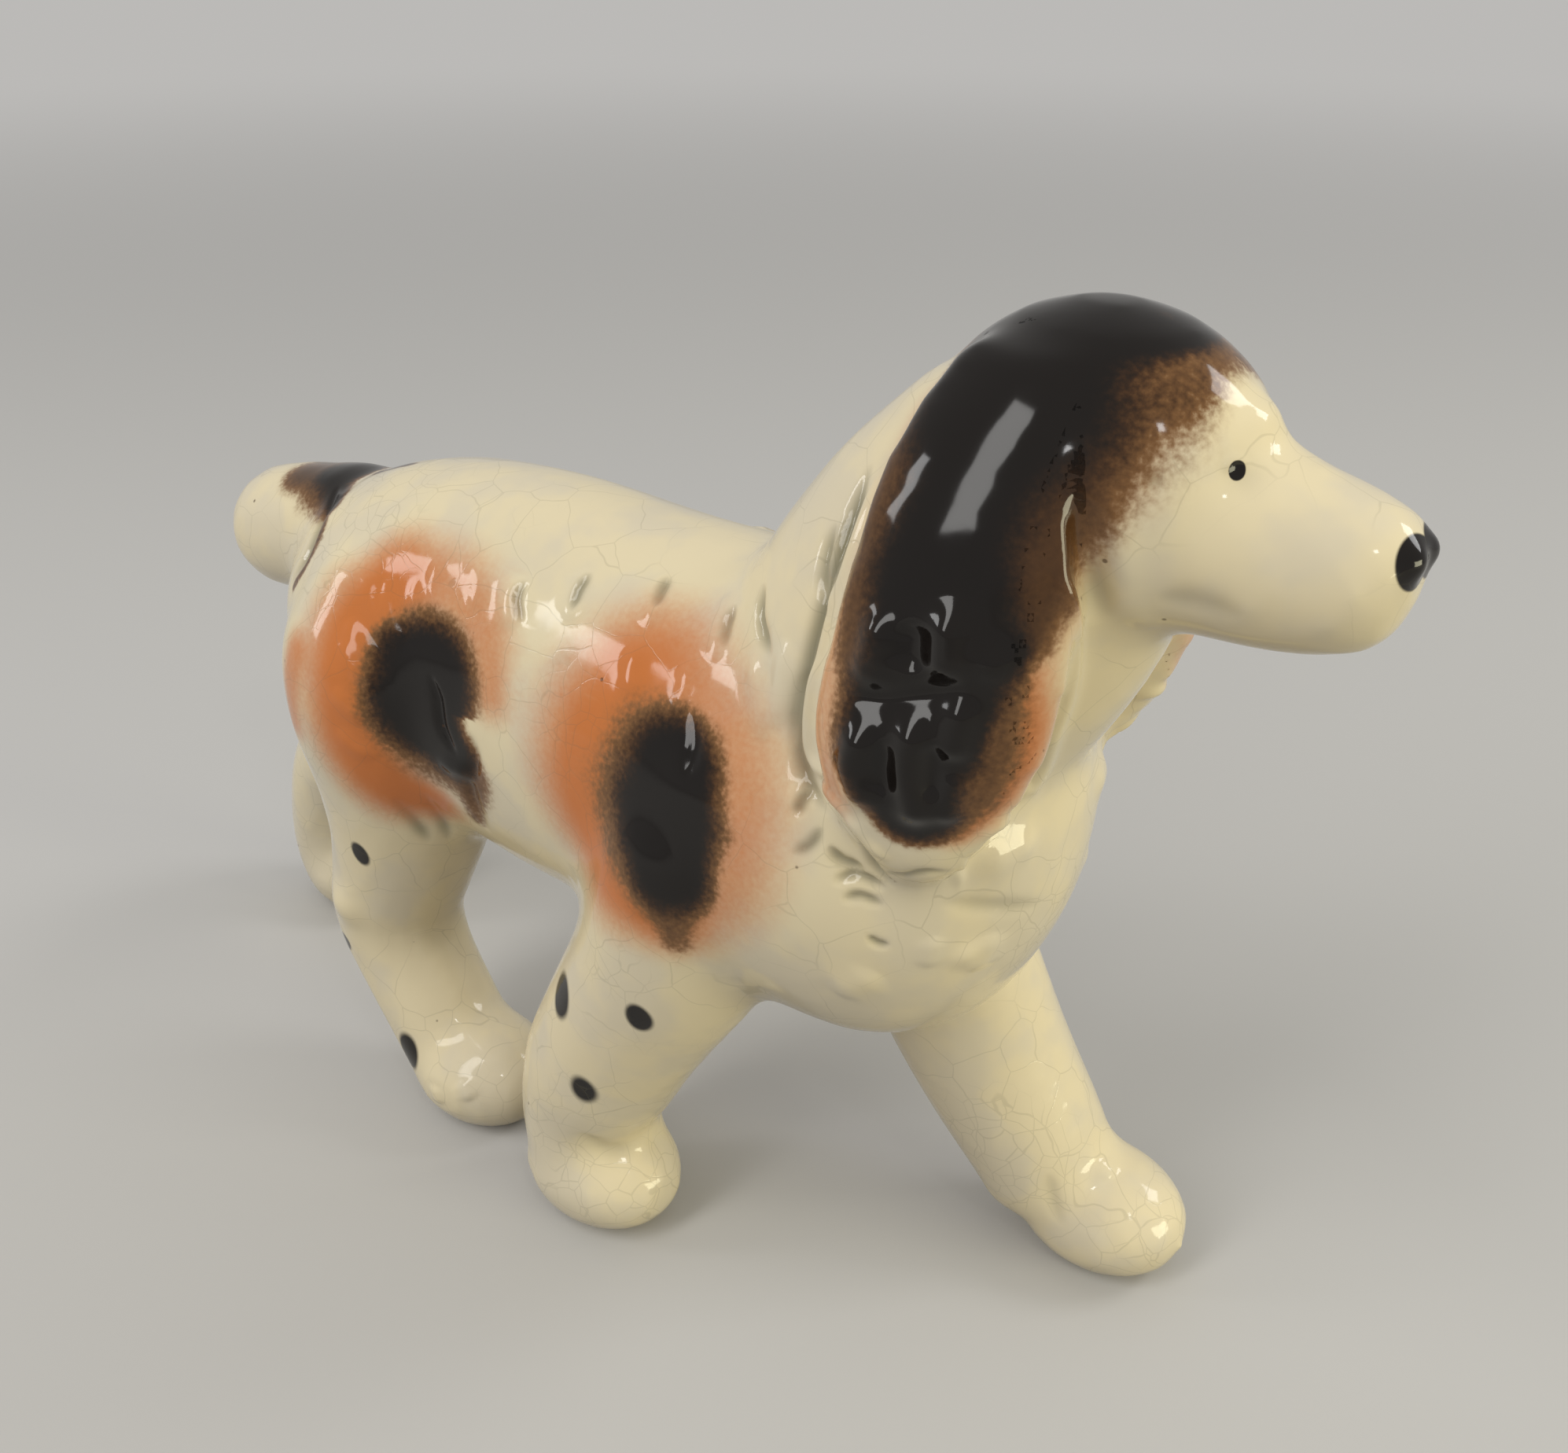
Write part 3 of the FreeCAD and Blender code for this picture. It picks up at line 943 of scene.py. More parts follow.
CHEST_LOCKS = (
    furrow((1054, 1076), (1070, 1096), (1100, 1106), width=0.85, depth=0.8),
    furrow((1060, 1122), (1088, 1114), (1128, 1130), width=0.8, depth=0.75),
    furrow((1070, 1144), (1094, 1140), (1124, 1152), width=0.7, depth=0.5),
    furrow((1102, 1190), (1116, 1200), (1132, 1202), width=0.6, depth=0.5),
    furrow((1063, 1032), (1090, 1070), (1112, 1102), (1140, 1128), width=0.8, depth=0.65),
    lock((1078, 1036), (1102, 1070), (1130, 1096), width=1.0, height=0.45),
    furrow((1128, 1112), (1170, 1110), (1212, 1107), width=0.7, depth=0.35),
    furrow((1196, 1146), (1256, 1152), (1322, 1150), width=1.3, depth=0.35, stain=0.35),
    lock((1224, 1092), (1219, 1116), (1218, 1138), width=0.9, height=0.4),
    Stroke(both((1268, 1092)), 3.4, 1.0),
    Stroke(both((1300, 1075)), 2.2, 0.5),
    Stroke(both((1224, 1216)), 1.8, 0.45),
    Stroke(both((1188, 1190), (1180, 1232)), 1.6, 0.4),
    Stroke(both((1262, 1186), (1240, 1236)), 2.6, 0.5),
    Stroke(both((1120, 1240), (1060, 1262)), 2.8, 0.45),
)

EAR_RELIEF = (
    Stroke(both((1346, 650), (1354, 700), (1358, 752), (1366, 822), (1359, 880), (1343, 926),
        (1312, 1000), (1270, 1050), (1232, 1090)), 1.3, 0.7, taper=0.2),
    Stroke(both((1374, 620), (1382, 680), (1390, 730), (1402, 792)), 2.2, -1.3, taper=0.4, stain=0.45),
    Stroke(both((1118, 600), (1086, 690), (1060, 770), (1036, 866), (1028, 924), (1036, 972),
        (1064, 1022), (1098, 1068)), 1.0, 0.5, taper=0.15),
    Stroke(both((1108, 590), (1072, 690), (1046, 770), (1022, 866), (1014, 930), (1022, 982),
        (1052, 1036)), 1.2, -0.7, taper=0.15),
    Stroke(both((1208, 802), (1206, 838)), 2.4, 1.5, taper=0.0),
    Stroke(both((1262, 846)), 2.2, 0.8),
    Stroke(both((1116, 806), (1106, 846)), 2.2, 1.0, taper=0.0),
    Stroke(both((1222, 912), (1214, 946)), 2.1, 1.1, taper=0.0),
    Stroke(both((1094, 946), (1086, 974), (1094, 1002)), 2.5, 1.5, taper=0.0),
    Stroke(both((1160, 940), (1156, 980), (1164, 1026)), 2.2, 1.4, taper=0.0),
    Stroke(both((1212, 1000), (1206, 1030)), 1.8, 0.8, taper=0.0),
    Stroke(both((1160, 790), (1160, 858)), 2.0, -0.7, taper=0.3),
    Stroke(both((1080, 886), (1130, 890), (1180, 884), (1230, 872)), 1.9, -0.8, taper=0.3),
    Stroke(both((1126, 940), (1124, 1016)), 1.3, -0.5, taper=0.3),
    Stroke(both((1188, 940), (1186, 1016)), 1.3, -0.5, taper=0.3),
)

HEAD_RELIEF = (
    Stroke(both((1600, 538)), 2.6, 0.7),
    Stroke(both((1574, 598)), 2.4, -0.35, stain=0.25),
    Stroke(both((1556, 600), (1572, 586), (1592, 592)), 0.7, 0.3),
    Stroke(both((1470, 762), (1520, 768), (1584, 786)), 1.8, -0.3, stain=0.18),
    Stroke(both((1452, 618), (1482, 608)), 0.9, -0.2, stain=0.5),
    Stroke(both((1408, 600), (1416, 690), (1440, 770), (1468, 800)), 2.4, 0.5, taper=0.3),
    Stroke(both((1800, 716)), 2.0, 0.8),
)

LEG_RELIEF = (
    furrow((736, 1440), (772, 1462), (812, 1464), width=1.8, depth=0.5, mirrored=False, stain=0.25),
    furrow((1332, 1492), (1340, 1530), (1350, 1560), width=1.2, depth=0.3, mirrored=False, stain=0.2),
    Stroke(drawn((1398, 1474), (1414, 1500)), 1.8, 0.45),
    Stroke(drawn((438, 1150)), 4.0, 1.2),
    Stroke(drawn((586, 1372), (600, 1400)), 1.8, 0.5),
    Stroke(drawn((552, 1380), (560, 1404)), 1.5, 0.4),
)

# The vent is only a shallow dimple; its pressed stroke darkens it with pooled glaze and painted shade.
VENT = (
    Stroke(placed((-4, 0, 40)), 2.6, -3.0),
    Stroke(placed((-4, 0, 40)), 4.4, 0.3),
)

TAIL_RELIEF = (
    furrow((430, 618), (412, 654), (390, 704), (370, 742), width=1.1, depth=0.6),
)

CROWN_PAINT = (
    Spray(Pigment.ORANGE, both((1224, 432), (1180, 512)), (6.0, 6.0), 0.7, 0.6),
    Spray(Pigment.ORANGE, both((1402, 548), (1440, 520)), (6.0, 4.0), 0.8, 0.35),
    Spray(Pigment.BROWN, both((1360, 545), (1420, 505), (1480, 470), (1524, 444)), (7.8, 7.4, 6.4, 3.6),
        0.85, 0.66),
    Spray(Pigment.BROWN, both((1256, 430), (1208, 512)), (5.5, 6.0), 0.7, 0.8),
    Spray(Pigment.BLACK, placed((60.5, 0, 138), (59, -9, 136), (59.5, -15, 129), mirrored=True),
        (9.5, 8.0, 6.8), 0.5),
    Spray(Pigment.BLACK, both((1400, 412), (1470, 420), (1508, 424)), (6.4, 4.6, 2.4), 0.5),
    Spray(Pigment.BLACK, both((1496, 512), (1540, 484)), (2.0, 1.6), 0.8, 0.22),
)

EAR_PAINT = (
    Spray(Pigment.ORANGE, both((1222, 440), (1176, 520), (1136, 594), (1106, 672), (1088, 752),
        (1066, 850), (1044, 925), (1054, 1000)), (6.0, 6.0, 5.5, 5.0, 4.5, 4.0, 4.0, 3.0), 0.7, 0.6),
    Spray(Pigment.ORANGE, both((1340, 640), (1330, 740), (1310, 800)), (4.5, 4.5, 4.0), 0.8, 0.55),
    Spray(Pigment.ORANGE, both((1275, 885), (1280, 940), (1254, 1006), (1216, 1046)),
        (4.6, 5.4, 4.6, 3.0), 0.6, 0.95),
    Spray(Pigment.BROWN, both((1196, 520), (1150, 600), (1124, 680), (1110, 752), (1100, 830)),
        (6.0, 5.5, 5.0, 5.0, 4.0), 0.6, 0.85),
    Spray(Pigment.BROWN, both((1330, 560), (1322, 640), (1312, 720), (1296, 800)), (6.5, 6.5, 5.5, 3.6),
        0.6, 0.95),
    Spray(Pigment.BROWN, both((1256, 880), (1256, 940), (1238, 1004), (1200, 1040)),
        (3.6, 3.6, 3.4, 3.0), 0.7, 0.75),
    Spray(Pigment.BLACK, both((1326, 500), (1266, 561), (1226, 637), (1206, 690)), (7.8, 6.9, 5.9, 5.4),
        0.6),
    Spray(Pigment.BLACK, both((1200, 680), (1190, 742)), (5.4, 6.2), 0.6, 0.8),
    Spray(Pigment.BLACK, both((1192, 770), (1194, 826)), (7.0, 7.4), 0.35),
    Spray(Pigment.BLACK, both((1270, 830)), (2.6,), 0.5),
    Spray(Pigment.BLACK, both((1186, 878), (1150, 931), (1150, 985), (1160, 1026)),
        (5.2, 7.4, 7.2, 4.6), 0.35),
    Spray(Pigment.BLACK, both((1226, 900), (1214, 940)), (2.8, 2.8), 0.45),
)

HAUNCH_PAINT = (
    Spray(Pigment.ORANGE, both((500, 745), (455, 800), (440, 880), (455, 950), (500, 1000),
        (550, 1018)), (6.0, 7.5, 7.5, 7.5, 6.5, 4.5), 0.7, 1.0),
    Spray(Pigment.ORANGE, both((520, 740), (580, 750), (615, 805), (622, 880)), (6.0, 5.0, 4.5, 3.5),
        0.8, 0.75),
    Spray(Pigment.BROWN, both((530, 850), (524, 900), (546, 950), (585, 985)), (6.4, 6.8, 6.2, 4.4),
        0.7, 0.7),
    Spray(Pigment.BLACK, both((548, 864), (542, 908), (566, 948)), (7.8, 8.2, 5.0), 0.42),
    Spray(Pigment.BLACK, both((500, 828), (520, 850)), (3.0, 4.0), 0.7, 0.7),
    Spray(Pigment.BLACK, both((490, 880), (506, 896)), (2.0, 3.0), 0.8, 0.6),
    Spray(Pigment.BROWN, both((600, 985), (604, 1040)), (3.0, 1.6), 0.9, 0.6),
    Spray(Pigment.ORANGE, drawn((374, 830), (372, 912)), (3.0, 3.0), 0.7, 0.8),
)

SIDE_PAINT = (
    Spray(Pigment.ORANGE, both((800, 872), (758, 930), (745, 1010), (768, 1090), (820, 1150)),
        (8.5, 9.0, 9.0, 8.0, 6.0), 0.7, 1.0),
    Spray(Pigment.ORANGE, both((850, 862), (910, 930), (932, 1020), (918, 1110), (870, 1170)),
        (7.5, 6.5, 6.5, 6.0, 5.0), 0.8, 0.75),
    Spray(Pigment.BROWN, both((826, 966), (808, 1040), (834, 1114)), (6.4, 7.2, 5.6), 0.7, 0.8),
    Spray(Pigment.BLACK, both((856, 984), (850, 1046), (850, 1104)), (6.6, 7.8, 5.6), 0.42),
    Spray(Pigment.BLACK, both((800, 1010), (808, 1060)), (2.4, 2.6), 0.8, 0.6),
    Spray(Pigment.BROWN, both((852, 1140), (858, 1196)), (3.5, 2.0), 0.8, 0.6),
)

TAIL_PAINT = (
    Spray(Pigment.BROWN, drawn((384, 604), (408, 606), (420, 640)), (3.0, 4.6, 3.0), 0.8, 0.85),
    Spray(Pigment.BROWN, placed((-60, 0, 95), (-60, 6, 93)), (5.0, 4.5), 0.7, 0.8),
    Spray(Pigment.BLACK, drawn((424, 602), (452, 600), (474, 596)), (2.8, 3.0, 1.6), 0.6),
    Spray(Pigment.BLACK, drawn((428, 618), (424, 644)), (2.6, 1.4), 0.7, 0.9),
    Spray(Pigment.BLACK, placed((-53, 0, 96), (-53, 7, 94)), (3.4, 3.0), 0.5),
    Spray(Pigment.BLACK, placed((-46, 0, 98), (-40, 0, 99)), (1.8, 0.8), 0.7, 0.8),
    # This thin black line along the tail's crease is painted shade in the furrow.
    Spray(Pigment.BLACK, drawn((424, 636), (408, 676), (390, 716), (374, 746)), (1.2, 0.9, 0.8, 0.7),
        0.7, 0.55),
)

# The black here is painted shade: it darkens the vent's shallow dimple as if it were a deep hole.
VENT_PAINTED_SHADE = (
    Spray(Pigment.BLACK, placed((-4, 0, 40)), (2.3,), 0.2),
)

RELIEF = (
    *HAUNCH_LOCKS, *FLANK_LOCKS, *SHOULDER_LOCKS, *CHEST_LOCKS, *EAR_RELIEF, *HEAD_RELIEF,
    *LEG_RELIEF, *VENT, *TAIL_RELIEF,
)
PAINT = (*CROWN_PAINT, *EAR_PAINT, *HAUNCH_PAINT, *SIDE_PAINT, *TAIL_PAINT, *VENT_PAINTED_SHADE)


@dataclass(frozen=True)
class Spot:
    """A crisp spot of black, painted with a brush.

    Attributes:
        trail: Its middle, as a trail of one point.
        half_sizes: Half its size across, along and down.
        edge: Share of its size over which its edge fades.
    """

    trail: Trail
    half_sizes: Place
    edge: float = 0.2


SPOTS = (
    Spot(both((1574, 598)), (0.75, 1.0, 0.95), edge=0.08),
    Spot(both((1802, 716)), (2.6, 2.8, 2.6), edge=0.06),
    Spot(drawn((458, 1086)), (1.5, 3.0, 2.2)),
    Spot(drawn((440, 1196)), (1.6, 3.0, 1.6)),
    Spot(drawn((520, 1337)), (2.3, 3.0, 3.4)),
    Spot(drawn((714, 1266)), (2.3, 3.0, 3.3)),
    Spot(drawn((812, 1295)), (1.8, 3.0, 2.4)),
    Spot(drawn((742, 1386)), (1.9, 3.0, 2.4), edge=0.3),
    Spot(placed((44, 28, 34)), (2.0, 3.0, 2.6)),
    Spot(placed((38, 28, 44)), (1.8, 3.0, 2.4)),
    Spot(placed((-74, 22, 40)), (2.0, 3.0, 2.6)),
)


@dataclass(frozen=True)
class Cloud:
    """A cloudy noise.

    Attributes:
        scale: How many clouds there are in a metre.
        detail: How many finer layers it has.
    """

    scale: float
    detail: float


@dataclass(frozen=True)
class Glaze:
    """The finish of a piece: coloured slip and pigments under a clear, crazed glaze.

    Attributes:
        name: The record's material slot.
        cream: Colour of the ware under the glaze.
        cool_cream: Its colour in cooler patches.
        pool_and_shade_colour: Colour where the glaze is thick, in the hollows, and of the shade painted
            there.
        orange: Colour of the orange pigment.
        tan: Colour where brown is thin.
        umber: Colour where brown is dense or black is thin.
        black: Colour of the black pigment.
        roughness: Roughness of the glaze.
        ior: Index of refraction of the glaze.
        craze_cell: Size of the crazing's cells in millimetres.
        craze_width: Width of its lines in millimetres.
        craze_stain: How dark its lines are on pale ware, from 0 to 1.
    """

    name: str
    cream: Place = (0.74, 0.64, 0.42)
    cool_cream: Place = (0.68, 0.60, 0.43)
    # Dark greenish colour of pooled glaze and of painted shade in the grooves.
    pool_and_shade_colour: Place = (0.13, 0.12, 0.065)
    orange: Place = (0.56, 0.175, 0.042)
    tan: Place = (0.25, 0.12, 0.042)
    umber: Place = (0.055, 0.023, 0.007)
    black: Place = (0.006, 0.004, 0.003)
    roughness: float = 0.085
    ior: float = 1.4
    craze_cell: float = 8.0
    craze_width: float = 0.1
    craze_stain: float = 0.16

    DRIFT = Cloud(90.0, 3.0)
    DRIFT_BAND = (0.42, 0.62)
    POOL_AND_SHADE_SHARE = 0.8
    GRAIN = Cloud(1500.0, 5.0)
    GRAIN_SHARES = {Pigment.ORANGE: 0.35, Pigment.BROWN: 0.7, Pigment.BLACK: 0.7}
    GRAIN_GAIN = 4.0
    BROWN_DARKNESS = 0.7
    TAN_BAND = (0.0, 0.45)
    UMBER_BAND = (0.1, 0.8)
    BLACK_BAND = (0.6, 1.0)
    PALE_BAND = (0.02, 0.4)
    CRAZE_WARP = Cloud(140.0, 2.0)
    CRAZE_SHIFT = 3.0
    # Of each net: its cells as a share of craze_cell, and the noise at which its patches begin.
    CRAZE_NETS = ((1.0, 0.35), (0.45, 0.52))
    CRAZE_CORE = 0.25
    CRAZE_PATCHES = Cloud(40.0, 1.0)
    PATCH_FADE = 0.12
    CRAZE_DEPTH = 0.3
    SPECK_SCALE = 220.0
    SPECK_BAND = (0.075, 0.035)
    SPECK_RARITY = 0.9
    SPECK_SHARE = 0.7
    RIPPLES = Cloud(260.0, 2.0)
    BUMP_DEPTH = 0.05
    BUMP_STRENGTH = 0.35

    def build(self, spots: Sequence[tuple[Place, Spot]]) -> bpy.types.Material:
        """Make the material.

        Args:
            spots: The place of each painted spot in millimetres, with the spot.

        Returns:
            The material.
        """
        material = bpy.data.materials.new(self.name)
        material.use_nodes = True
        maker = NodeMaker(material.node_tree)
        place = maker.out("TexCoord", "Object")
        grain = maker.noise(place, self.GRAIN)
        dark = self.darkness(maker, grain)
        pale = maker.rest(maker.ramp(dark, *self.PALE_BAND))
        lines = maker.maths("MULTIPLY", self.crazing(maker, place), pale)

        drift = maker.noise(place, self.DRIFT)
        colour = maker.mix(maker.ramp(drift, *self.DRIFT_BAND), self.cream, self.cool_cream)
        # Darkens the pressed-in grooves: pooled glaze and painted shade.
        pooled_and_shaded = maker.out("Attribute", "Fac", attribute_name="stain")
        colour = maker.mix(maker.maths("MULTIPLY", pooled_and_shaded, self.POOL_AND_SHADE_SHARE), colour, self.pool_and_shade_colour)
        colour = maker.mix(self.pigment(maker, Pigment.ORANGE, grain), colour, self.orange)
        for band, tone in (
            (self.TAN_BAND, self.tan),
            (self.UMBER_BAND, self.umber),
            (self.BLACK_BAND, self.black),
        ):
            colour = maker.mix(maker.ramp(dark, *band), colour, tone)
        for middle, spot in spots:
            colour = maker.mix(self.spot_mask(maker, place, middle, spot), colour, self.black)
        colour = maker.mix(maker.maths("MULTIPLY", lines, self.craze_stain), colour, self.pool_and_shade_colour)
        specks = maker.maths("MULTIPLY", self.specks(maker, place), self.SPECK_SHARE)
        colour = maker.mix(specks, colour, self.umber)

        shader = material.node_tree.nodes["Principled BSDF"]
        maker.link(colour, shader.inputs["Base Color"])
        shader.inputs["Roughness"].default_value = self.roughness
        shader.inputs["IOR"].default_value = self.ior
        bump = maker.node("Bump")
        bump.inputs["Distance"].default_value = self.BUMP_DEPTH * MM
        bump.inputs["Strength"].default_value = self.BUMP_STRENGTH
        sunk = maker.maths("MULTIPLY", lines, -self.CRAZE_DEPTH)
        height = maker.maths("ADD", sunk, maker.noise(place, self.RIPPLES))
        maker.link(height, bump.inputs["Height"])
        maker.link(bump.outputs["Normal"], shader.inputs["Normal"])
        return material

    def darkness(self, maker: "NodeMaker", grain: object) -> object:
        """Give how dark brown and black make the ware together, from 0 to 1.

        Args:
            maker: What adds the nodes.
            grain: The grain of the pigments.

        Returns:
            The darkness.
        """
        brown = maker.maths("MULTIPLY", self.pigment(maker, Pigment.BROWN, grain), self.BROWN_DARKNESS)
        black = self.pigment(maker, Pigment.BLACK, grain)
        return maker.rest(maker.maths("MULTIPLY", maker.rest(brown), maker.rest(black)))

    def pigment(self, maker: "NodeMaker", pigment: Pigment, grain: object) -> object:
        """Give the density of a pigment, broken up by its grain where it is half dense.

        Args:
            maker: What adds the nodes.
            pigment: The pigment.
            grain: The grain of the pigments.

        Returns:
            The density.
        """
        dense = maker.out("Attribute", "Fac", attribute_name=pigment.value)
        centred = maker.maths("SUBTRACT", grain, 0.5)
        broken = maker.maths("MULTIPLY", centred, self.GRAIN_SHARES[pigment])
        weak = maker.maths("MULTIPLY", maker.rest(dense), dense)
        grainy = maker.maths("MULTIPLY", maker.maths("MULTIPLY", weak, self.GRAIN_GAIN), broken)
        return maker.maths("ADD", dense, grainy)

    def spot_mask(self, maker: "NodeMaker", place: object, middle: Place, spot: Spot) -> object:
        """Give 1 inside a spot and 0 outside it.

        Args:
            maker: What adds the nodes.
            place: The place on the figure.
            middle: The middle of the spot, in millimetres.
            spot: The spot.

        Returns:
            The mask.
        """
        mapping = maker.node("Mapping")
        mapping.vector_type = "TEXTURE"
        mapping.inputs["Location"].default_value = Vector(middle) * MM
        mapping.inputs["Scale"].default_value = Vector(spot.half_sizes) * MM
        maker.link(place, mapping.inputs["Vector"])
        length = maker.node("VectorMath")
        length.operation = "LENGTH"
        maker.link(mapping.outputs["Vector"], length.inputs[0])
        return maker.ramp(length.outputs["Value"], 1 + spot.edge, 1 - spot.edge)

    def crazing(self, maker: "NodeMaker", place: object) -> object:
        """Give 1 on the lines of the crazing and 0 between them.

        Args:
            maker: What adds the nodes.
            place: The place on the figure.

        Returns:
            The mask.
        """
        shift = maker.node("VectorMath")
        shift.operation = "MULTIPLY_ADD"
        maker.link(maker.noise(place, self.CRAZE_WARP, "Color"), shift.inputs[0])
        shift.inputs[1].default_value = [self.CRAZE_SHIFT * MM] * 3
        maker.link(place, shift.inputs[2])
        lines = []
        for size, low in self.CRAZE_NETS:
            cell = self.craze_cell * size
            cells = maker.node("TexVoronoi")
            cells.feature = "DISTANCE_TO_EDGE"
            cells.inputs["Scale"].default_value = 1 / (cell * MM)
            maker.link(shift.outputs["Vector"], cells.inputs["Vector"])
            edge = self.craze_width / cell
            line = maker.ramp(cells.outputs["Distance"], edge, edge * self.CRAZE_CORE)
            patch = maker.ramp(maker.noise(place, self.CRAZE_PATCHES), low, low + self.PATCH_FADE)
            lines.append(maker.maths("MULTIPLY", line, patch))
        return maker.maths("MAXIMUM", *lines)

    def specks(self, maker: "NodeMaker", place: object) -> object:
        """Give 1 in the small dark specks of the glaze and 0 between them.

        Args:
            maker: What adds the nodes.
            place: The place on the figure.

        Returns:
            The mask.
        """
        cells = maker.node("TexVoronoi")
        cells.inputs["Scale"].default_value = self.SPECK_SCALE
        maker.link(place, cells.inputs["Vector"])
        near = maker.ramp(cells.outputs["Distance"], *self.SPECK_BAND)
        split = maker.node("SeparateColor")
        maker.link(cells.outputs["Color"], split.inputs["Color"])
        rare = maker.maths("GREATER_THAN", split.outputs["Red"], self.SPECK_RARITY)
        return maker.maths("MULTIPLY", near, rare)


class NodeMaker:
    """Short ways to add nodes to a material."""

    MIX_FIRST = 6
    MIX_SECOND = 7
    MIX_RESULT = 2

    def __init__(self, tree: bpy.types.NodeTree) -> None:
        """Keep the node tree."""
        self.tree = tree

    def node(self, kind: str) -> bpy.types.Node:
        """Add a shader node."""
        return self.tree.nodes.new(f"ShaderNode{kind}")

    def link(self, value: object, socket: bpy.types.NodeSocket) -> None:
        """Feed a socket with another socket, a number or a colour.

        Args:
            value: The socket, the number or the colour.
            socket: The socket to feed.
        """
        if isinstance(value, bpy.types.NodeSocket):
            self.tree.links.new(value, socket)
        elif isinstance(value, tuple):
            socket.default_value = (*value, 1.0)
        else:
            socket.default_value = value

    def out(self, kind: str, output: str, **settings: object) -> bpy.types.NodeSocket:
        """Add a node and give one of its outputs.

        Args:
            kind: The kind of node.
            output: The name of the output.
            settings: The node's settings.

        Returns:
            The output.
        """
        node = self.node(kind)
        for name, value in settings.items():
            setattr(node, name, value)
        return node.outputs[output]

    def noise(self, place: object, cloud: Cloud, output: str = "Fac") -> bpy.types.NodeSocket:
        """Give a cloudy noise from 0 to 1, as a number or a colour.

        Args:
            place: The place on the figure.
            cloud: How fine it is.
            output: Fac for a number, or Color.

        Returns:
            The noise.
        """
        node = self.node("TexNoise")
        node.inputs["Scale"].default_value = cloud.scale
        node.inputs["Detail"].default_value = cloud.detail
        self.link(place, node.inputs["Vector"])
        return node.outputs[output]

    def maths(self, operation: str, first: object, second: object) -> bpy.types.NodeSocket:
        """Join two numbers.

        Args:
            operation: What to do with them.
            first: The first number.
            second: The second number.

        Returns:
            The result.
        """
        node = self.node("Math")
        node.operation = operation
        self.link(first, node.inputs[0])
        self.link(second, node.inputs[1])
        return node.outputs["Value"]

    def rest(self, value: object) -> bpy.types.NodeSocket:
        """Give what a share leaves of 1."""
        return self.maths("SUBTRACT", 1.0, value)

    def ramp(self, value: object, start: float, end: float) -> bpy.types.NodeSocket:
        """Give 0 before start, 1 past end, and a smooth step between.

        Args:
            value: The number that is looked up.
            start: Where the step begins.
            end: Where it ends, which may be the lower of the two.

        Returns:
            A number from 0 to 1.
        """
        node = self.node("MapRange")
        node.interpolation_type = "SMOOTHSTEP"
        flip = start > end
        self.link(value, node.inputs["Value"])
        node.inputs["From Min"].default_value = min(start, end)
        node.inputs["From Max"].default_value = max(start, end)
        node.inputs["To Min"].default_value = 1.0 if flip else 0.0
        node.inputs["To Max"].default_value = 0.0 if flip else 1.0
        return node.outputs["Result"]

    def mix(self, share: object, first: object, second: object) -> bpy.types.NodeSocket:
        """Mix two colours.

        Args:
            share: The share of the second colour.
            first: The first colour.
            second: The second colour.

        Returns:
            The mixed colour.
        """
        node = self.node("Mix")
        node.data_type = "RGBA"
        self.link(share, node.inputs[0])
        self.link(first, node.inputs[self.MIX_FIRST])
        self.link(second, node.inputs[self.MIX_SECOND])
        return node.outputs[self.MIX_RESULT]


@dataclass(frozen=True)
class Seam:
    """A layer of fired slip between two pieces, as the space between two planes.

    Attributes:
        point: A place on the plane at the body's side, in millimetres.
        away: The direction from the body to the other piece.
        thickness: The layer's thickness.
    """

    point: Vector
    away: Vector
    thickness: float

    @property
    def beyond(self) -> Vector:
        """Give a place on the plane at the other piece's side."""
        return self.point + self.away * self.thickness


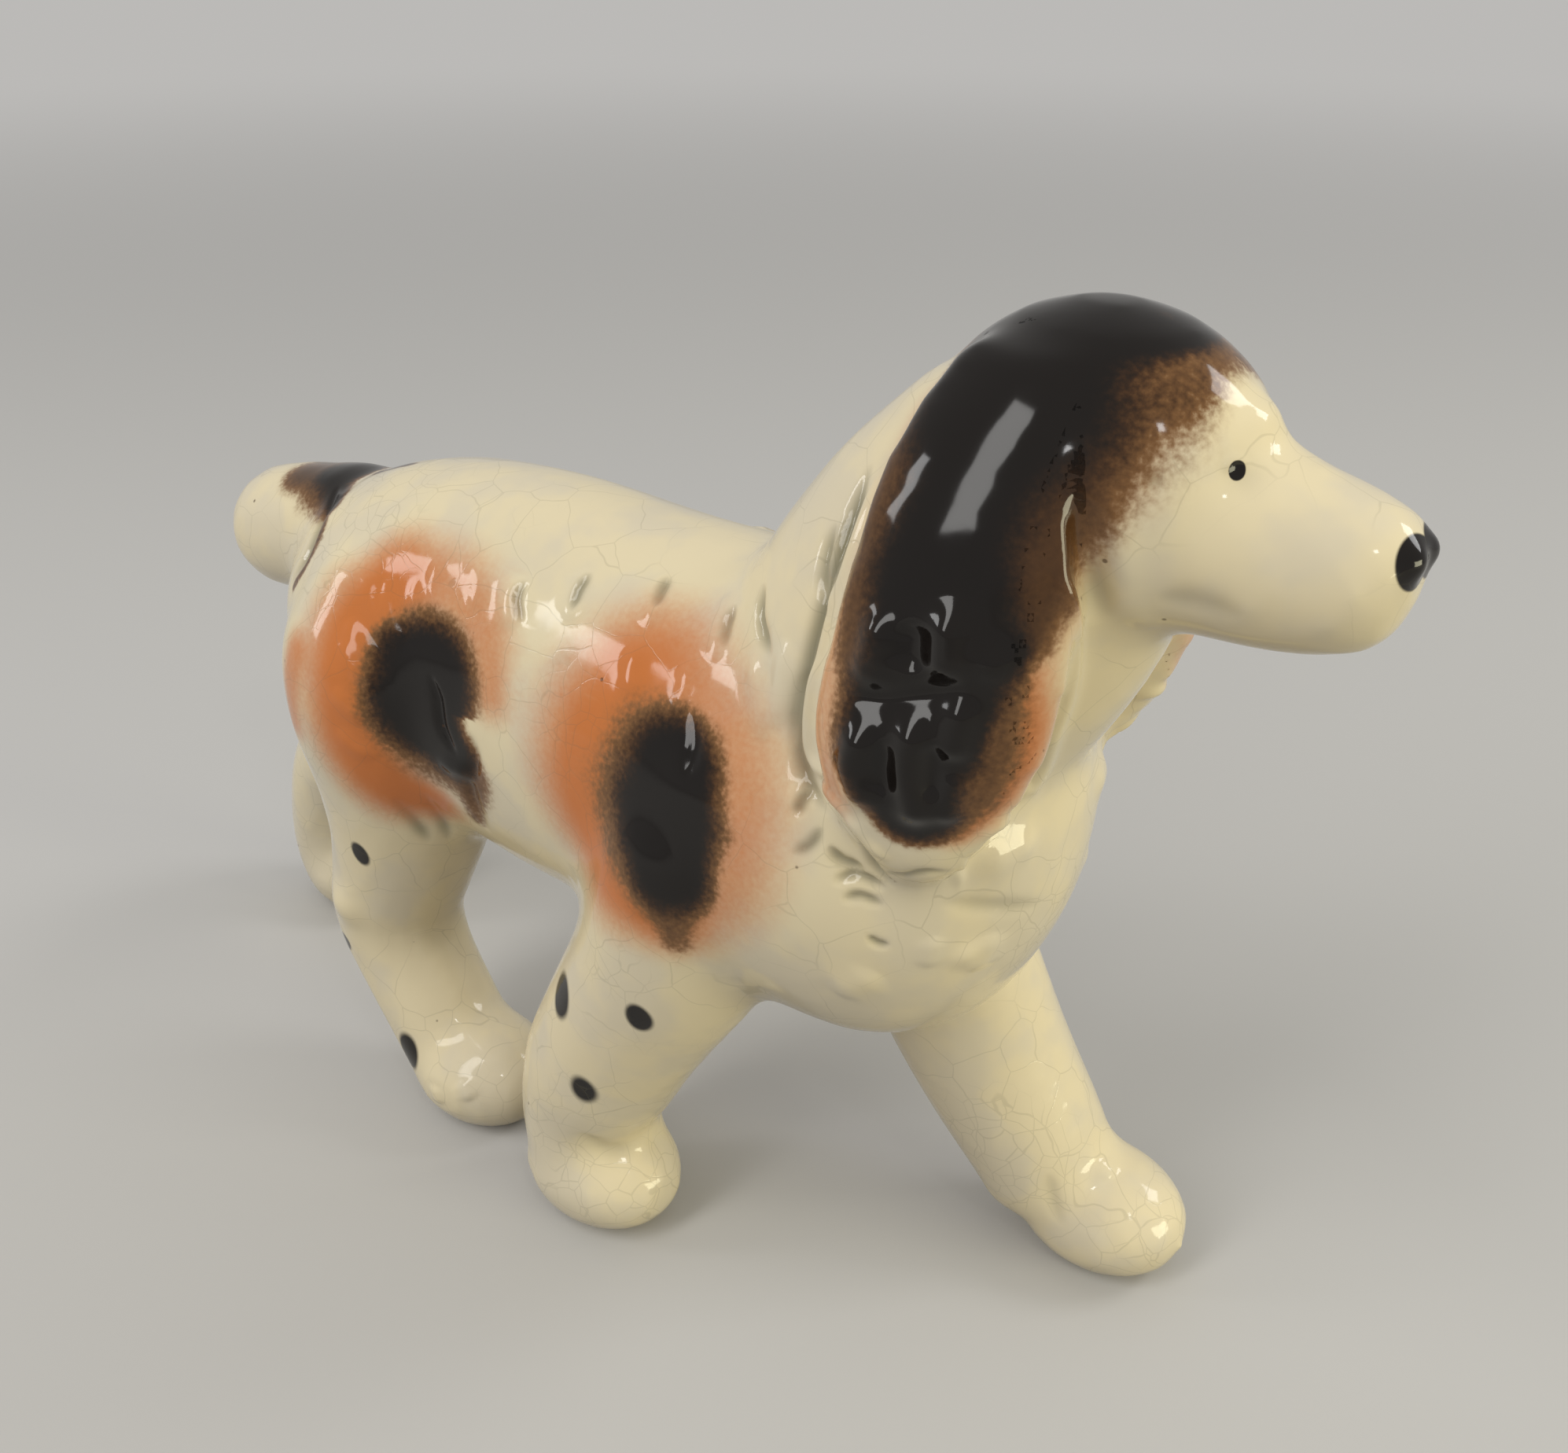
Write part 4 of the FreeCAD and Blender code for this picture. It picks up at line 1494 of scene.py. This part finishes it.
class Cutter:
    """Cuts the skin into the figure's pieces and closes each of them.

    Attributes:
        whole: What is left of the skin as the pieces come off.
    """

    TAIL_AHEAD = -50.0
    TAIL_ABOVE = 70.0
    PLANE_GRIP = 1e-5
    LEAST_VERTICES = 20

    def __init__(self, skin: Skin) -> None:
        """Load the skin, and keep its smooth directions so that no seam shows.

        Args:
            skin: The finished skin.
        """
        attribute = skin.mesh.attributes.new("skin_direction", "FLOAT_VECTOR", "POINT")
        attribute.data.foreach_set("vector", skin.normals.astype(np.float32).ravel())
        self.whole = bmesh.new()
        self.whole.from_mesh(skin.mesh)
        for face in self.whole.faces:
            face.smooth = True
        self.trim(self.whole, Vector(), Vector((0, 0, -1)))
        self.close(self.whole)

    @staticmethod
    def close(bm: bmesh.types.BMesh) -> None:
        """Close every open rim with a flat, hidden face.

        Args:
            bm: The mesh.
        """
        rims = [edge for edge in bm.edges if edge.is_boundary]
        if not rims:
            return
        made = bmesh.ops.holes_fill(bm, edges=rims, sides=0)["faces"]
        for face in made:
            face.smooth = False
        bmesh.ops.triangulate(bm, faces=made)

    @staticmethod
    def trim(bm: bmesh.types.BMesh, point: Vector, away: Vector,
             picked: Callable[[Vector], bool] | None = None) -> None:
        """Cut away what lies past a plane.

        Args:
            bm: The mesh to cut.
            point: A place on the plane.
            away: The direction of what goes.
            picked: Tells which faces the cut may touch by their middle, or all of them.
        """
        faces = [face for face in bm.faces if picked is None or picked(face.calc_center_median())]
        geom = set(faces)
        for face in faces:
            geom.update(face.edges)
            geom.update(face.verts)
        bmesh.ops.bisect_plane(
            bm, geom=list(geom), plane_co=point, plane_no=away, clear_outer=True,
            dist=Cutter.PLANE_GRIP,
        )

    def take_ear(self, label: np.ndarray) -> bmesh.types.BMesh:
        """Take one ear off.

        Args:
            label: For each vertex of the skin, True on this ear.

        Returns:
            The closed ear.
        """
        self.whole.verts.ensure_lookup_table()
        layer = self.whole.verts.layers.int["number"]
        ear_faces = [
            face for face in self.whole.faces
            if all(label[vert[layer]] for vert in face.verts)
        ]
        ear = self.whole.copy()
        ear.faces.ensure_lookup_table()
        self.whole.faces.index_update()
        numbers = {face.index for face in ear_faces}
        bmesh.ops.delete(ear, geom=[f for f in ear.faces if f.index not in numbers], context="FACES")
        bmesh.ops.delete(self.whole, geom=ear_faces, context="FACES")
        self.close(ear)
        self.close(self.whole)
        return ear

    def between(self, seam: Seam) -> bmesh.types.BMesh:
        """Give the closed slice of the skin that lies inside a seam.

        Args:
            seam: The seam.

        Returns:
            The slice.
        """
        part = self.whole.copy()
        self.trim(part, seam.beyond, seam.away)
        self.trim(part, seam.point, -seam.away)
        self.close(part)
        return part

    def beyond(self, seam: Seam) -> bmesh.types.BMesh:
        """Give the closed piece or pieces past a seam.

        Args:
            seam: The seam.

        Returns:
            What lies there.
        """
        part = self.whole.copy()
        self.trim(part, seam.beyond, -seam.away)
        self.close(part)
        return part

    @staticmethod
    def islands(bm: bmesh.types.BMesh) -> list[set[bmesh.types.BMVert]]:
        """Give the vertices of each loose part of a mesh.

        Args:
            bm: The mesh.

        Returns:
            One set for each part.
        """
        left = set(bm.verts)
        found = []
        while left:
            queue = [left.pop()]
            island = set(queue)
            while queue:
                for edge in queue.pop().link_edges:
                    for vert in edge.verts:
                        if vert not in island:
                            island.add(vert)
                            queue.append(vert)
            left -= island
            found.append(island)
        return found

    @classmethod
    def nearest_island(cls, bm: bmesh.types.BMesh, place: Vector) -> bmesh.types.BMesh:
        """Keep only the loose part whose middle is nearest to a place, seen from above.

        Args:
            bm: The mesh, which stays as it is.
            place: The place in millimetres.

        Returns:
            A mesh of that part.
        """
        part = bm.copy()
        islands = cls.islands(part)

        def apart(island: set[bmesh.types.BMVert]) -> float:
            """Give the level distance from the island's middle to the place."""
            middle = sum((vert.co for vert in island), Vector()) / len(island)
            return (middle - place).xy.length

        kept = min((island for island in islands if len(island) > cls.LEAST_VERTICES), key=apart)
        bmesh.ops.delete(part, geom=[v for v in part.verts if v not in kept], context="VERTS")
        return part


def finished(bm: bmesh.types.BMesh, name: str, material: bpy.types.Material) -> bpy.types.Object:
    """Make a piece of a closed mesh in millimetres.

    Args:
        bm: The mesh, which is freed.
        name: The piece's name.
        material: Its finish.

    Returns:
        The piece, at the origin and in metres.
    """
    mesh = bpy.data.meshes.new(name)
    bm.to_mesh(mesh)
    bm.free()
    triangles = sum(len(polygon.vertices) - 2 for polygon in mesh.polygons)
    if triangles > MOST_TRIANGLES:
        mesh = Skin.modified(mesh, "DECIMATE", ratio=MOST_TRIANGLES / triangles)
        mesh.name = name
    mesh.transform(Matrix.Scale(MM, 4))
    directions = np.empty(len(mesh.vertices) * 3, np.float32)
    mesh.attributes["skin_direction"].data.foreach_get("vector", directions)
    directions = directions.reshape(-1, 3)
    loops = np.empty(len(mesh.loops), np.int32)
    mesh.loops.foreach_get("vertex_index", loops)
    corners = directions[loops]
    for polygon in mesh.polygons:
        if not polygon.use_smooth:
            corners[polygon.loop_start:polygon.loop_start + polygon.loop_total] = polygon.normal
    corners /= np.maximum(np.linalg.norm(corners, axis=1, keepdims=True), TINY)
    for polygon in mesh.polygons:
        polygon.use_smooth = True
    mesh.normals_split_custom_set(corners.tolist())
    mesh.attributes.remove(mesh.attributes["skin_direction"])
    mesh.materials.append(material)
    piece = bpy.data.objects.new(name, mesh)
    bpy.context.scene.collection.objects.link(piece)
    return piece


@dataclass
class Figure:
    """The whole dog: its forms, its relief, its colours and its pieces.

    Attributes:
        trunk: The torso, the neck and the tail.
        head: The head.
        ears: The two ears.
        legs: The four legs.
        camera: The viewpoint of the photograph.
        slip: Thickness of the layers of fired slip, in millimetres.
    """

    EAR_MARGIN = 2.0
    NECK_LEAN = (26.5, 0.0, 47.0)
    TAIL_LEAN = (-27.0, 0.0, -5.5)

    trunk: Trunk = field(default_factory=Trunk)
    head: Head = field(default_factory=Head)
    ears: tuple[Ear, ...] = (Ear(Side.RIGHT), Ear(Side.LEFT))
    legs: tuple[Leg, ...] = LEGS
    camera: PhotoCamera = field(default_factory=PhotoCamera)
    slip: float = 0.5

    def model(self) -> tuple[Skin, Modeller]:
        """Model the skin and lay its relief and colours.

        Returns:
            The skin, and what holds its colours.
        """
        soles = sole_places()
        forms = self.trunk.forms() + self.head.forms()
        forms += [ear.form() for ear in self.ears]
        for leg in self.legs:
            forms += leg.forms(soles[leg.name])
        skin = Skin(forms)
        modeller = Modeller(skin, self.camera)
        for stroke in RELIEF:
            modeller.stroke(stroke)
        for spray in PAINT:
            modeller.spray(spray)
        log.info("pixels that miss the skin: %s", modeller.missed)
        modeller.settle()
        return skin, modeller

    def ear_labels(self, skin: Skin) -> list[np.ndarray]:
        """Tell for each ear which vertices of the skin lie on it.

        Args:
            skin: The finished skin.

        Returns:
            For each ear, True for each vertex on it.
        """
        rest_forms = self.trunk.forms()[:2] + self.head.forms()
        rest = [BVHTree.FromBMesh(form) for form in rest_forms]
        labels = []
        for ear in self.ears:
            form = ear.form()
            tree = BVHTree.FromBMesh(form)
            own_places = np.array([tuple(vert.co) for vert in form.verts])
            low = own_places.min(0) - self.EAR_MARGIN
            high = own_places.max(0) + self.EAR_MARGIN
            label = np.zeros(len(skin.places), bool)
            inside = ((skin.places > low) & (skin.places < high)).all(1)
            for i in np.flatnonzero(inside):
                place = Vector(skin.places[i])
                own = height_above(tree, place)
                label[i] = own < min(height_above(other, place) for other in rest)
            labels.append(label)
        return labels

    def seams(self) -> dict[str, Seam]:
        """Give the seams of the neck, the tail and the legs, from the slip that lies in them.

        Returns:
            The seams by their names.
        """
        leg_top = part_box("foreleg_right_slip")[0].z / MM + self.slip
        return {
            "neck": Seam(*slip_axis("neck_slip", Vector(self.NECK_LEAN)), self.slip),
            "tail": Seam(*slip_axis("tail_slip", Vector(self.TAIL_LEAN)), self.slip),
            "legs": Seam(Vector((0, 0, leg_top)), Vector((0, 0, -1)), self.slip),
        }

    def cut(self, skin: Skin, modeller: Modeller, finish: Callable[[str], bpy.types.Material]) -> None:
        """Cut the skin into its pieces and set each in its place.

        Args:
            skin: The finished skin.
            modeller: What holds its colours.
            finish: Gives the material of a slot.
        """
        add_numbers(skin.mesh, "number", np.arange(len(skin.places)), "INT")
        # Stores the pooled glaze and the painted shade of the grooves for the finish.
        add_numbers(skin.mesh, "stain", modeller.stain, "FLOAT")
        for pigment, sheet in modeller.colours.items():
            add_numbers(skin.mesh, pigment.value, sheet, "FLOAT")
        labels = self.ear_labels(skin)
        cutter = Cutter(skin)
        seams = self.seams()
        for ear, label in zip(self.ears, labels):
            self.place(cutter.take_ear(label), f"ear_{ear.side.name.lower()}", "ear_glaze", finish)
        self.place(cutter.between(seams["neck"]), "neck_slip", "slip_seam", finish)
        self.place(cutter.beyond(seams["neck"]), "head_shell", "cream_glaze", finish)
        cutter.trim(cutter.whole, seams["neck"].point, seams["neck"].away)
        cutter.close(cutter.whole)
        self.cut_legs(cutter, seams["legs"], finish)
        self.cut_tail(cutter, seams["tail"], finish)
        self.place(cutter.whole, "body_shell", "cream_glaze", finish)

    def cut_legs(self, cutter: Cutter, seam: Seam, finish: Callable[[str], bpy.types.Material]) -> None:
        """Cut the legs and their layers of slip off.

        Args:
            cutter: What holds the rest of the skin.
            seam: The seam of the legs.
            finish: Gives the material of a slot.
        """
        lower = cutter.beyond(seam)
        slices = cutter.between(seam)
        for leg in self.legs:
            middle = middle_of(f"{leg.name}_slip")
            self.place(cutter.nearest_island(lower, middle), leg.name, "cream_glaze", finish)
            self.place(cutter.nearest_island(slices, middle), f"{leg.name}_slip", "slip_seam", finish)
        lower.free()
        slices.free()
        cutter.trim(cutter.whole, seam.point, seam.away)
        cutter.close(cutter.whole)

    def cut_tail(self, cutter: Cutter, seam: Seam, finish: Callable[[str], bpy.types.Material]) -> None:
        """Cut the tail and its layer of slip off.

        Args:
            cutter: What holds the rest of the skin.
            seam: The seam of the tail.
            finish: Gives the material of a slot.
        """
        middle = middle_of("tail")

        def apart(island: set[bmesh.types.BMVert]) -> float:
            """Give the distance from the middle of the tail to the island."""
            return min((vert.co - middle).length for vert in island)

        tail = cutter.whole.copy()
        cutter.trim(tail, seam.point, -seam.away)
        kept = min(cutter.islands(tail), key=apart)
        bmesh.ops.delete(tail, geom=[vert for vert in tail.verts if vert not in kept], context="VERTS")
        ring = tail.copy()
        cutter.trim(ring, seam.beyond, seam.away)
        cutter.trim(tail, seam.beyond, -seam.away)
        cutter.close(ring)
        cutter.close(tail)
        self.place(ring, "tail_slip", "slip_seam", finish)
        self.place(tail, "tail", "cream_glaze", finish)
        cutter.trim(
            cutter.whole, seam.point, seam.away,
            lambda place: place.x < Cutter.TAIL_AHEAD and place.z > Cutter.TAIL_ABOVE,
        )
        cutter.close(cutter.whole)

    def place(self, bm: bmesh.types.BMesh, node: str, slot: str,
              finish: Callable[[str], bpy.types.Material]) -> None:
        """Finish a piece that stands for a node, and report it.

        Args:
            bm: Its closed mesh.
            node: The node that it stands for.
            slot: The record's material slot.
            finish: Gives the material of a slot.
        """
        piece = finished(bm, f"{node}_skin", finish(slot))
        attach(piece, "root")
        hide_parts(node)
        log.info("%s: %d faces", piece.name, len(piece.data.polygons))


def height_above(tree: BVHTree, place: Vector) -> float:
    """Give how far a place lies outside a closed form, or less than zero inside it."""
    nearest, normal, _, apart = tree.find_nearest(place)
    return apart if (place - nearest).dot(normal) > 0 else -apart


def middle_of(node: str) -> Vector:
    """Give the middle of a node's box in millimetres."""
    low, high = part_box(node)
    return (low + high) / 2 / MM


def slip_axis(node: str, guess: Vector) -> tuple[Vector, Vector]:
    """Find the near plane of a slip layer.

    Args:
        node: The layer's node.
        guess: The direction across it, away from the body.

    Returns:
        A place on its lower plane in millimetres, and the unit direction across it.
    """
    away = guess.normalized()
    places = [vert.co / MM for vert in frame["nodes"][node].data.vertices]
    lowest = min(place.dot(away) for place in places)
    return away * lowest, away


def add_numbers(mesh: bpy.types.Mesh, name: str, values: np.ndarray, kind: str) -> None:
    """Store one number for each vertex of a mesh."""
    attribute = mesh.attributes.new(name, kind, "POINT")
    attribute.data.foreach_set("value", values.astype(np.int32 if kind == "INT" else np.float32))


@dataclass(frozen=True)
class Lamp:
    """A soft rectangular lamp that points at the figure.

    Attributes:
        name: Its name.
        round_from_right: Its direction in degrees, from the dog's right side towards its nose.
        up: Its height above the floor as an angle in degrees.
        distance: How far it hangs from the figure, in metres.
        size: Its width and height in metres.
        power: Its power in watts.
        colour: Its colour.
    """

    name: str
    round_from_right: float
    up: float
    distance: float
    size: tuple[float, float]
    power: float
    colour: Place = (1.0, 1.0, 1.0)

    def build(self, target: Vector) -> None:
        """Hang the lamp.

        Args:
            target: What it points at, in metres.
        """
        data = bpy.data.lights.new(self.name, "AREA")
        data.shape = "RECTANGLE"
        data.size, data.size_y = self.size
        data.energy = self.power
        data.color = self.colour
        turn, rise = math.radians(self.round_from_right), math.radians(self.up)
        away = Vector((
            math.sin(turn) * math.cos(rise),
            -math.cos(turn) * math.cos(rise),
            math.sin(rise),
        ))
        lamp = bpy.data.objects.new(self.name, data)
        turned = (-away).to_track_quat("-Z", "Y").to_matrix().to_4x4()
        lamp.matrix_world = Matrix.Translation(target + away * self.distance) @ turned
        bpy.context.scene.collection.objects.link(lamp)


@dataclass(frozen=True)
class Studio:
    """A plain pale floor that runs into a pale backdrop, and soft lamps.

    Attributes:
        floor_radius: Size of the floor in metres.
        floor_sides: Number of its sides.
        floor_roughness: Roughness of the floor.
        floor_shine: How strongly it mirrors.
        near, far: Distances in metres between which the lit floor turns into the backdrop.
        floor_colour: Colour of the floor as the camera sees it.
        bounce: Colour of the light that the floor throws back on the figure.
        backdrop: Colour of the backdrop.
        world_strength: Strength of the light from all around.
        target: What the lamps point at, in metres.
        lamps: The lamps.
    """

    floor_radius: float = 12.0
    floor_sides: int = 64
    floor_roughness: float = 0.9
    floor_shine: float = 0.2
    near: float = 0.35
    far: float = 1.5
    floor_colour: Place = (0.52, 0.51, 0.49)
    bounce: Place = (0.2, 0.185, 0.165)
    backdrop: Place = (0.5, 0.49, 0.475)
    world_strength: float = 0.55
    target: Place = (0.01, 0.0, 0.08)
    lamps: tuple[Lamp, ...] = (
        Lamp("window", -12.0, 41.0, 0.75, (0.2, 0.74), 2.6, (1.0, 0.985, 0.96)),
        Lamp("side window", -54.0, 21.0, 0.9, (0.14, 0.32), 0.9),
        Lamp("back", 135.0, 36.0, 0.9, (0.28, 0.28), 1.6),
        Lamp("front", 58.0, 42.0, 0.9, (0.07, 0.07), 0.25),
        Lamp("chest", 96.0, 6.0, 1.0, (0.5, 0.3), 4.2, (1.0, 0.95, 0.66)),
    )

    def build(self) -> None:
        """Make the floor, the lamps and the world."""
        bm = bmesh.new()
        bmesh.ops.create_circle(
            bm, cap_ends=True, segments=self.floor_sides, radius=self.floor_radius
        )
        mesh = bpy.data.meshes.new("floor")
        bm.to_mesh(mesh)
        bm.free()
        mesh.materials.append(self.floor_finish())
        floor = bpy.data.objects.new("floor", mesh)
        bpy.context.scene.collection.objects.link(floor)
        for lamp in self.lamps:
            lamp.build(Vector(self.target))
        self.light_all_around()
        bpy.context.scene.view_settings.view_transform = "Standard"

    @staticmethod
    def seen(maker: "NodeMaker") -> bpy.types.NodeSocket:
        """Give 1 on the rays that see the background, straight, mirrored or through glass.

        Args:
            maker: What adds the nodes.

        Returns:
            The mask.
        """
        straight = maker.out("LightPath", "Is Camera Ray")
        mirrored = maker.out("LightPath", "Is Glossy Ray")
        through = maker.out("LightPath", "Is Transmission Ray")
        return maker.maths("MAXIMUM", maker.maths("MAXIMUM", straight, mirrored), through)

    def floor_finish(self) -> bpy.types.Material:
        """Make the floor's material, which glows like the backdrop far from the figure.

        Returns:
            The material.
        """
        material = bpy.data.materials.new("floor")
        material.use_nodes = True
        maker = NodeMaker(material.node_tree)
        shader = material.node_tree.nodes["Principled BSDF"]
        tone = maker.mix(self.seen(maker), self.bounce, self.floor_colour)
        maker.link(tone, shader.inputs["Base Color"])
        shader.inputs["Roughness"].default_value = self.floor_roughness
        shader.inputs["Specular IOR Level"].default_value = self.floor_shine
        length = maker.node("VectorMath")
        length.operation = "LENGTH"
        maker.link(maker.out("TexCoord", "Object"), length.inputs[0])
        glow = maker.node("Emission")
        glow.inputs["Color"].default_value = (*self.backdrop, 1)
        mixed = maker.node("MixShader")
        distant = maker.ramp(length.outputs["Value"], self.near, self.far)
        share = maker.maths("MULTIPLY", distant, self.seen(maker))
        maker.link(share, mixed.inputs[0])
        maker.link(shader.outputs["BSDF"], mixed.inputs[1])
        maker.link(glow.outputs["Emission"], mixed.inputs[2])
        output = material.node_tree.nodes["Material Output"]
        maker.link(mixed.outputs["Shader"], output.inputs["Surface"])
        return material

    def light_all_around(self) -> None:
        """Light the figure a little from all around, with the backdrop behind it."""
        world = bpy.data.worlds.new("studio")
        world.use_nodes = True
        maker = NodeMaker(world.node_tree)
        light = world.node_tree.nodes["Background"]
        light.inputs["Color"].default_value = (1.0, 1.0, 1.0, 1)
        light.inputs["Strength"].default_value = self.world_strength
        sheet = maker.node("Background")
        sheet.inputs["Color"].default_value = (*self.backdrop, 1)
        mixed = maker.node("MixShader")
        maker.link(self.seen(maker), mixed.inputs[0])
        maker.link(light.outputs["Background"], mixed.inputs[1])
        maker.link(sheet.outputs["Background"], mixed.inputs[2])
        output = world.node_tree.nodes["World Output"]
        maker.link(mixed.outputs["Shader"], output.inputs["Surface"])
        bpy.context.scene.world = world


def main() -> None:
    """Build the figure, its glaze and the studio, and report each piece."""
    logging.basicConfig(level=logging.INFO, format="%(message)s")
    figure = Figure()
    figure.camera.build()
    skin, modeller = figure.model()
    spots = []
    for spot in SPOTS:
        for line in modeller.lines(spot.trail):
            spots.append((tuple(line[0]), spot))
    finishes: dict[str, bpy.types.Material] = {}

    def finish(slot: str) -> bpy.types.Material:
        """Give the material of a slot, made once.

        Args:
            slot: The record's material slot.

        Returns:
            The material.
        """
        if slot not in finishes:
            finishes[slot] = Glaze(slot).build(spots)
        return finishes[slot]

    figure.cut(skin, modeller, finish)
    Studio().build()


if __name__ == "__main__":
    main()
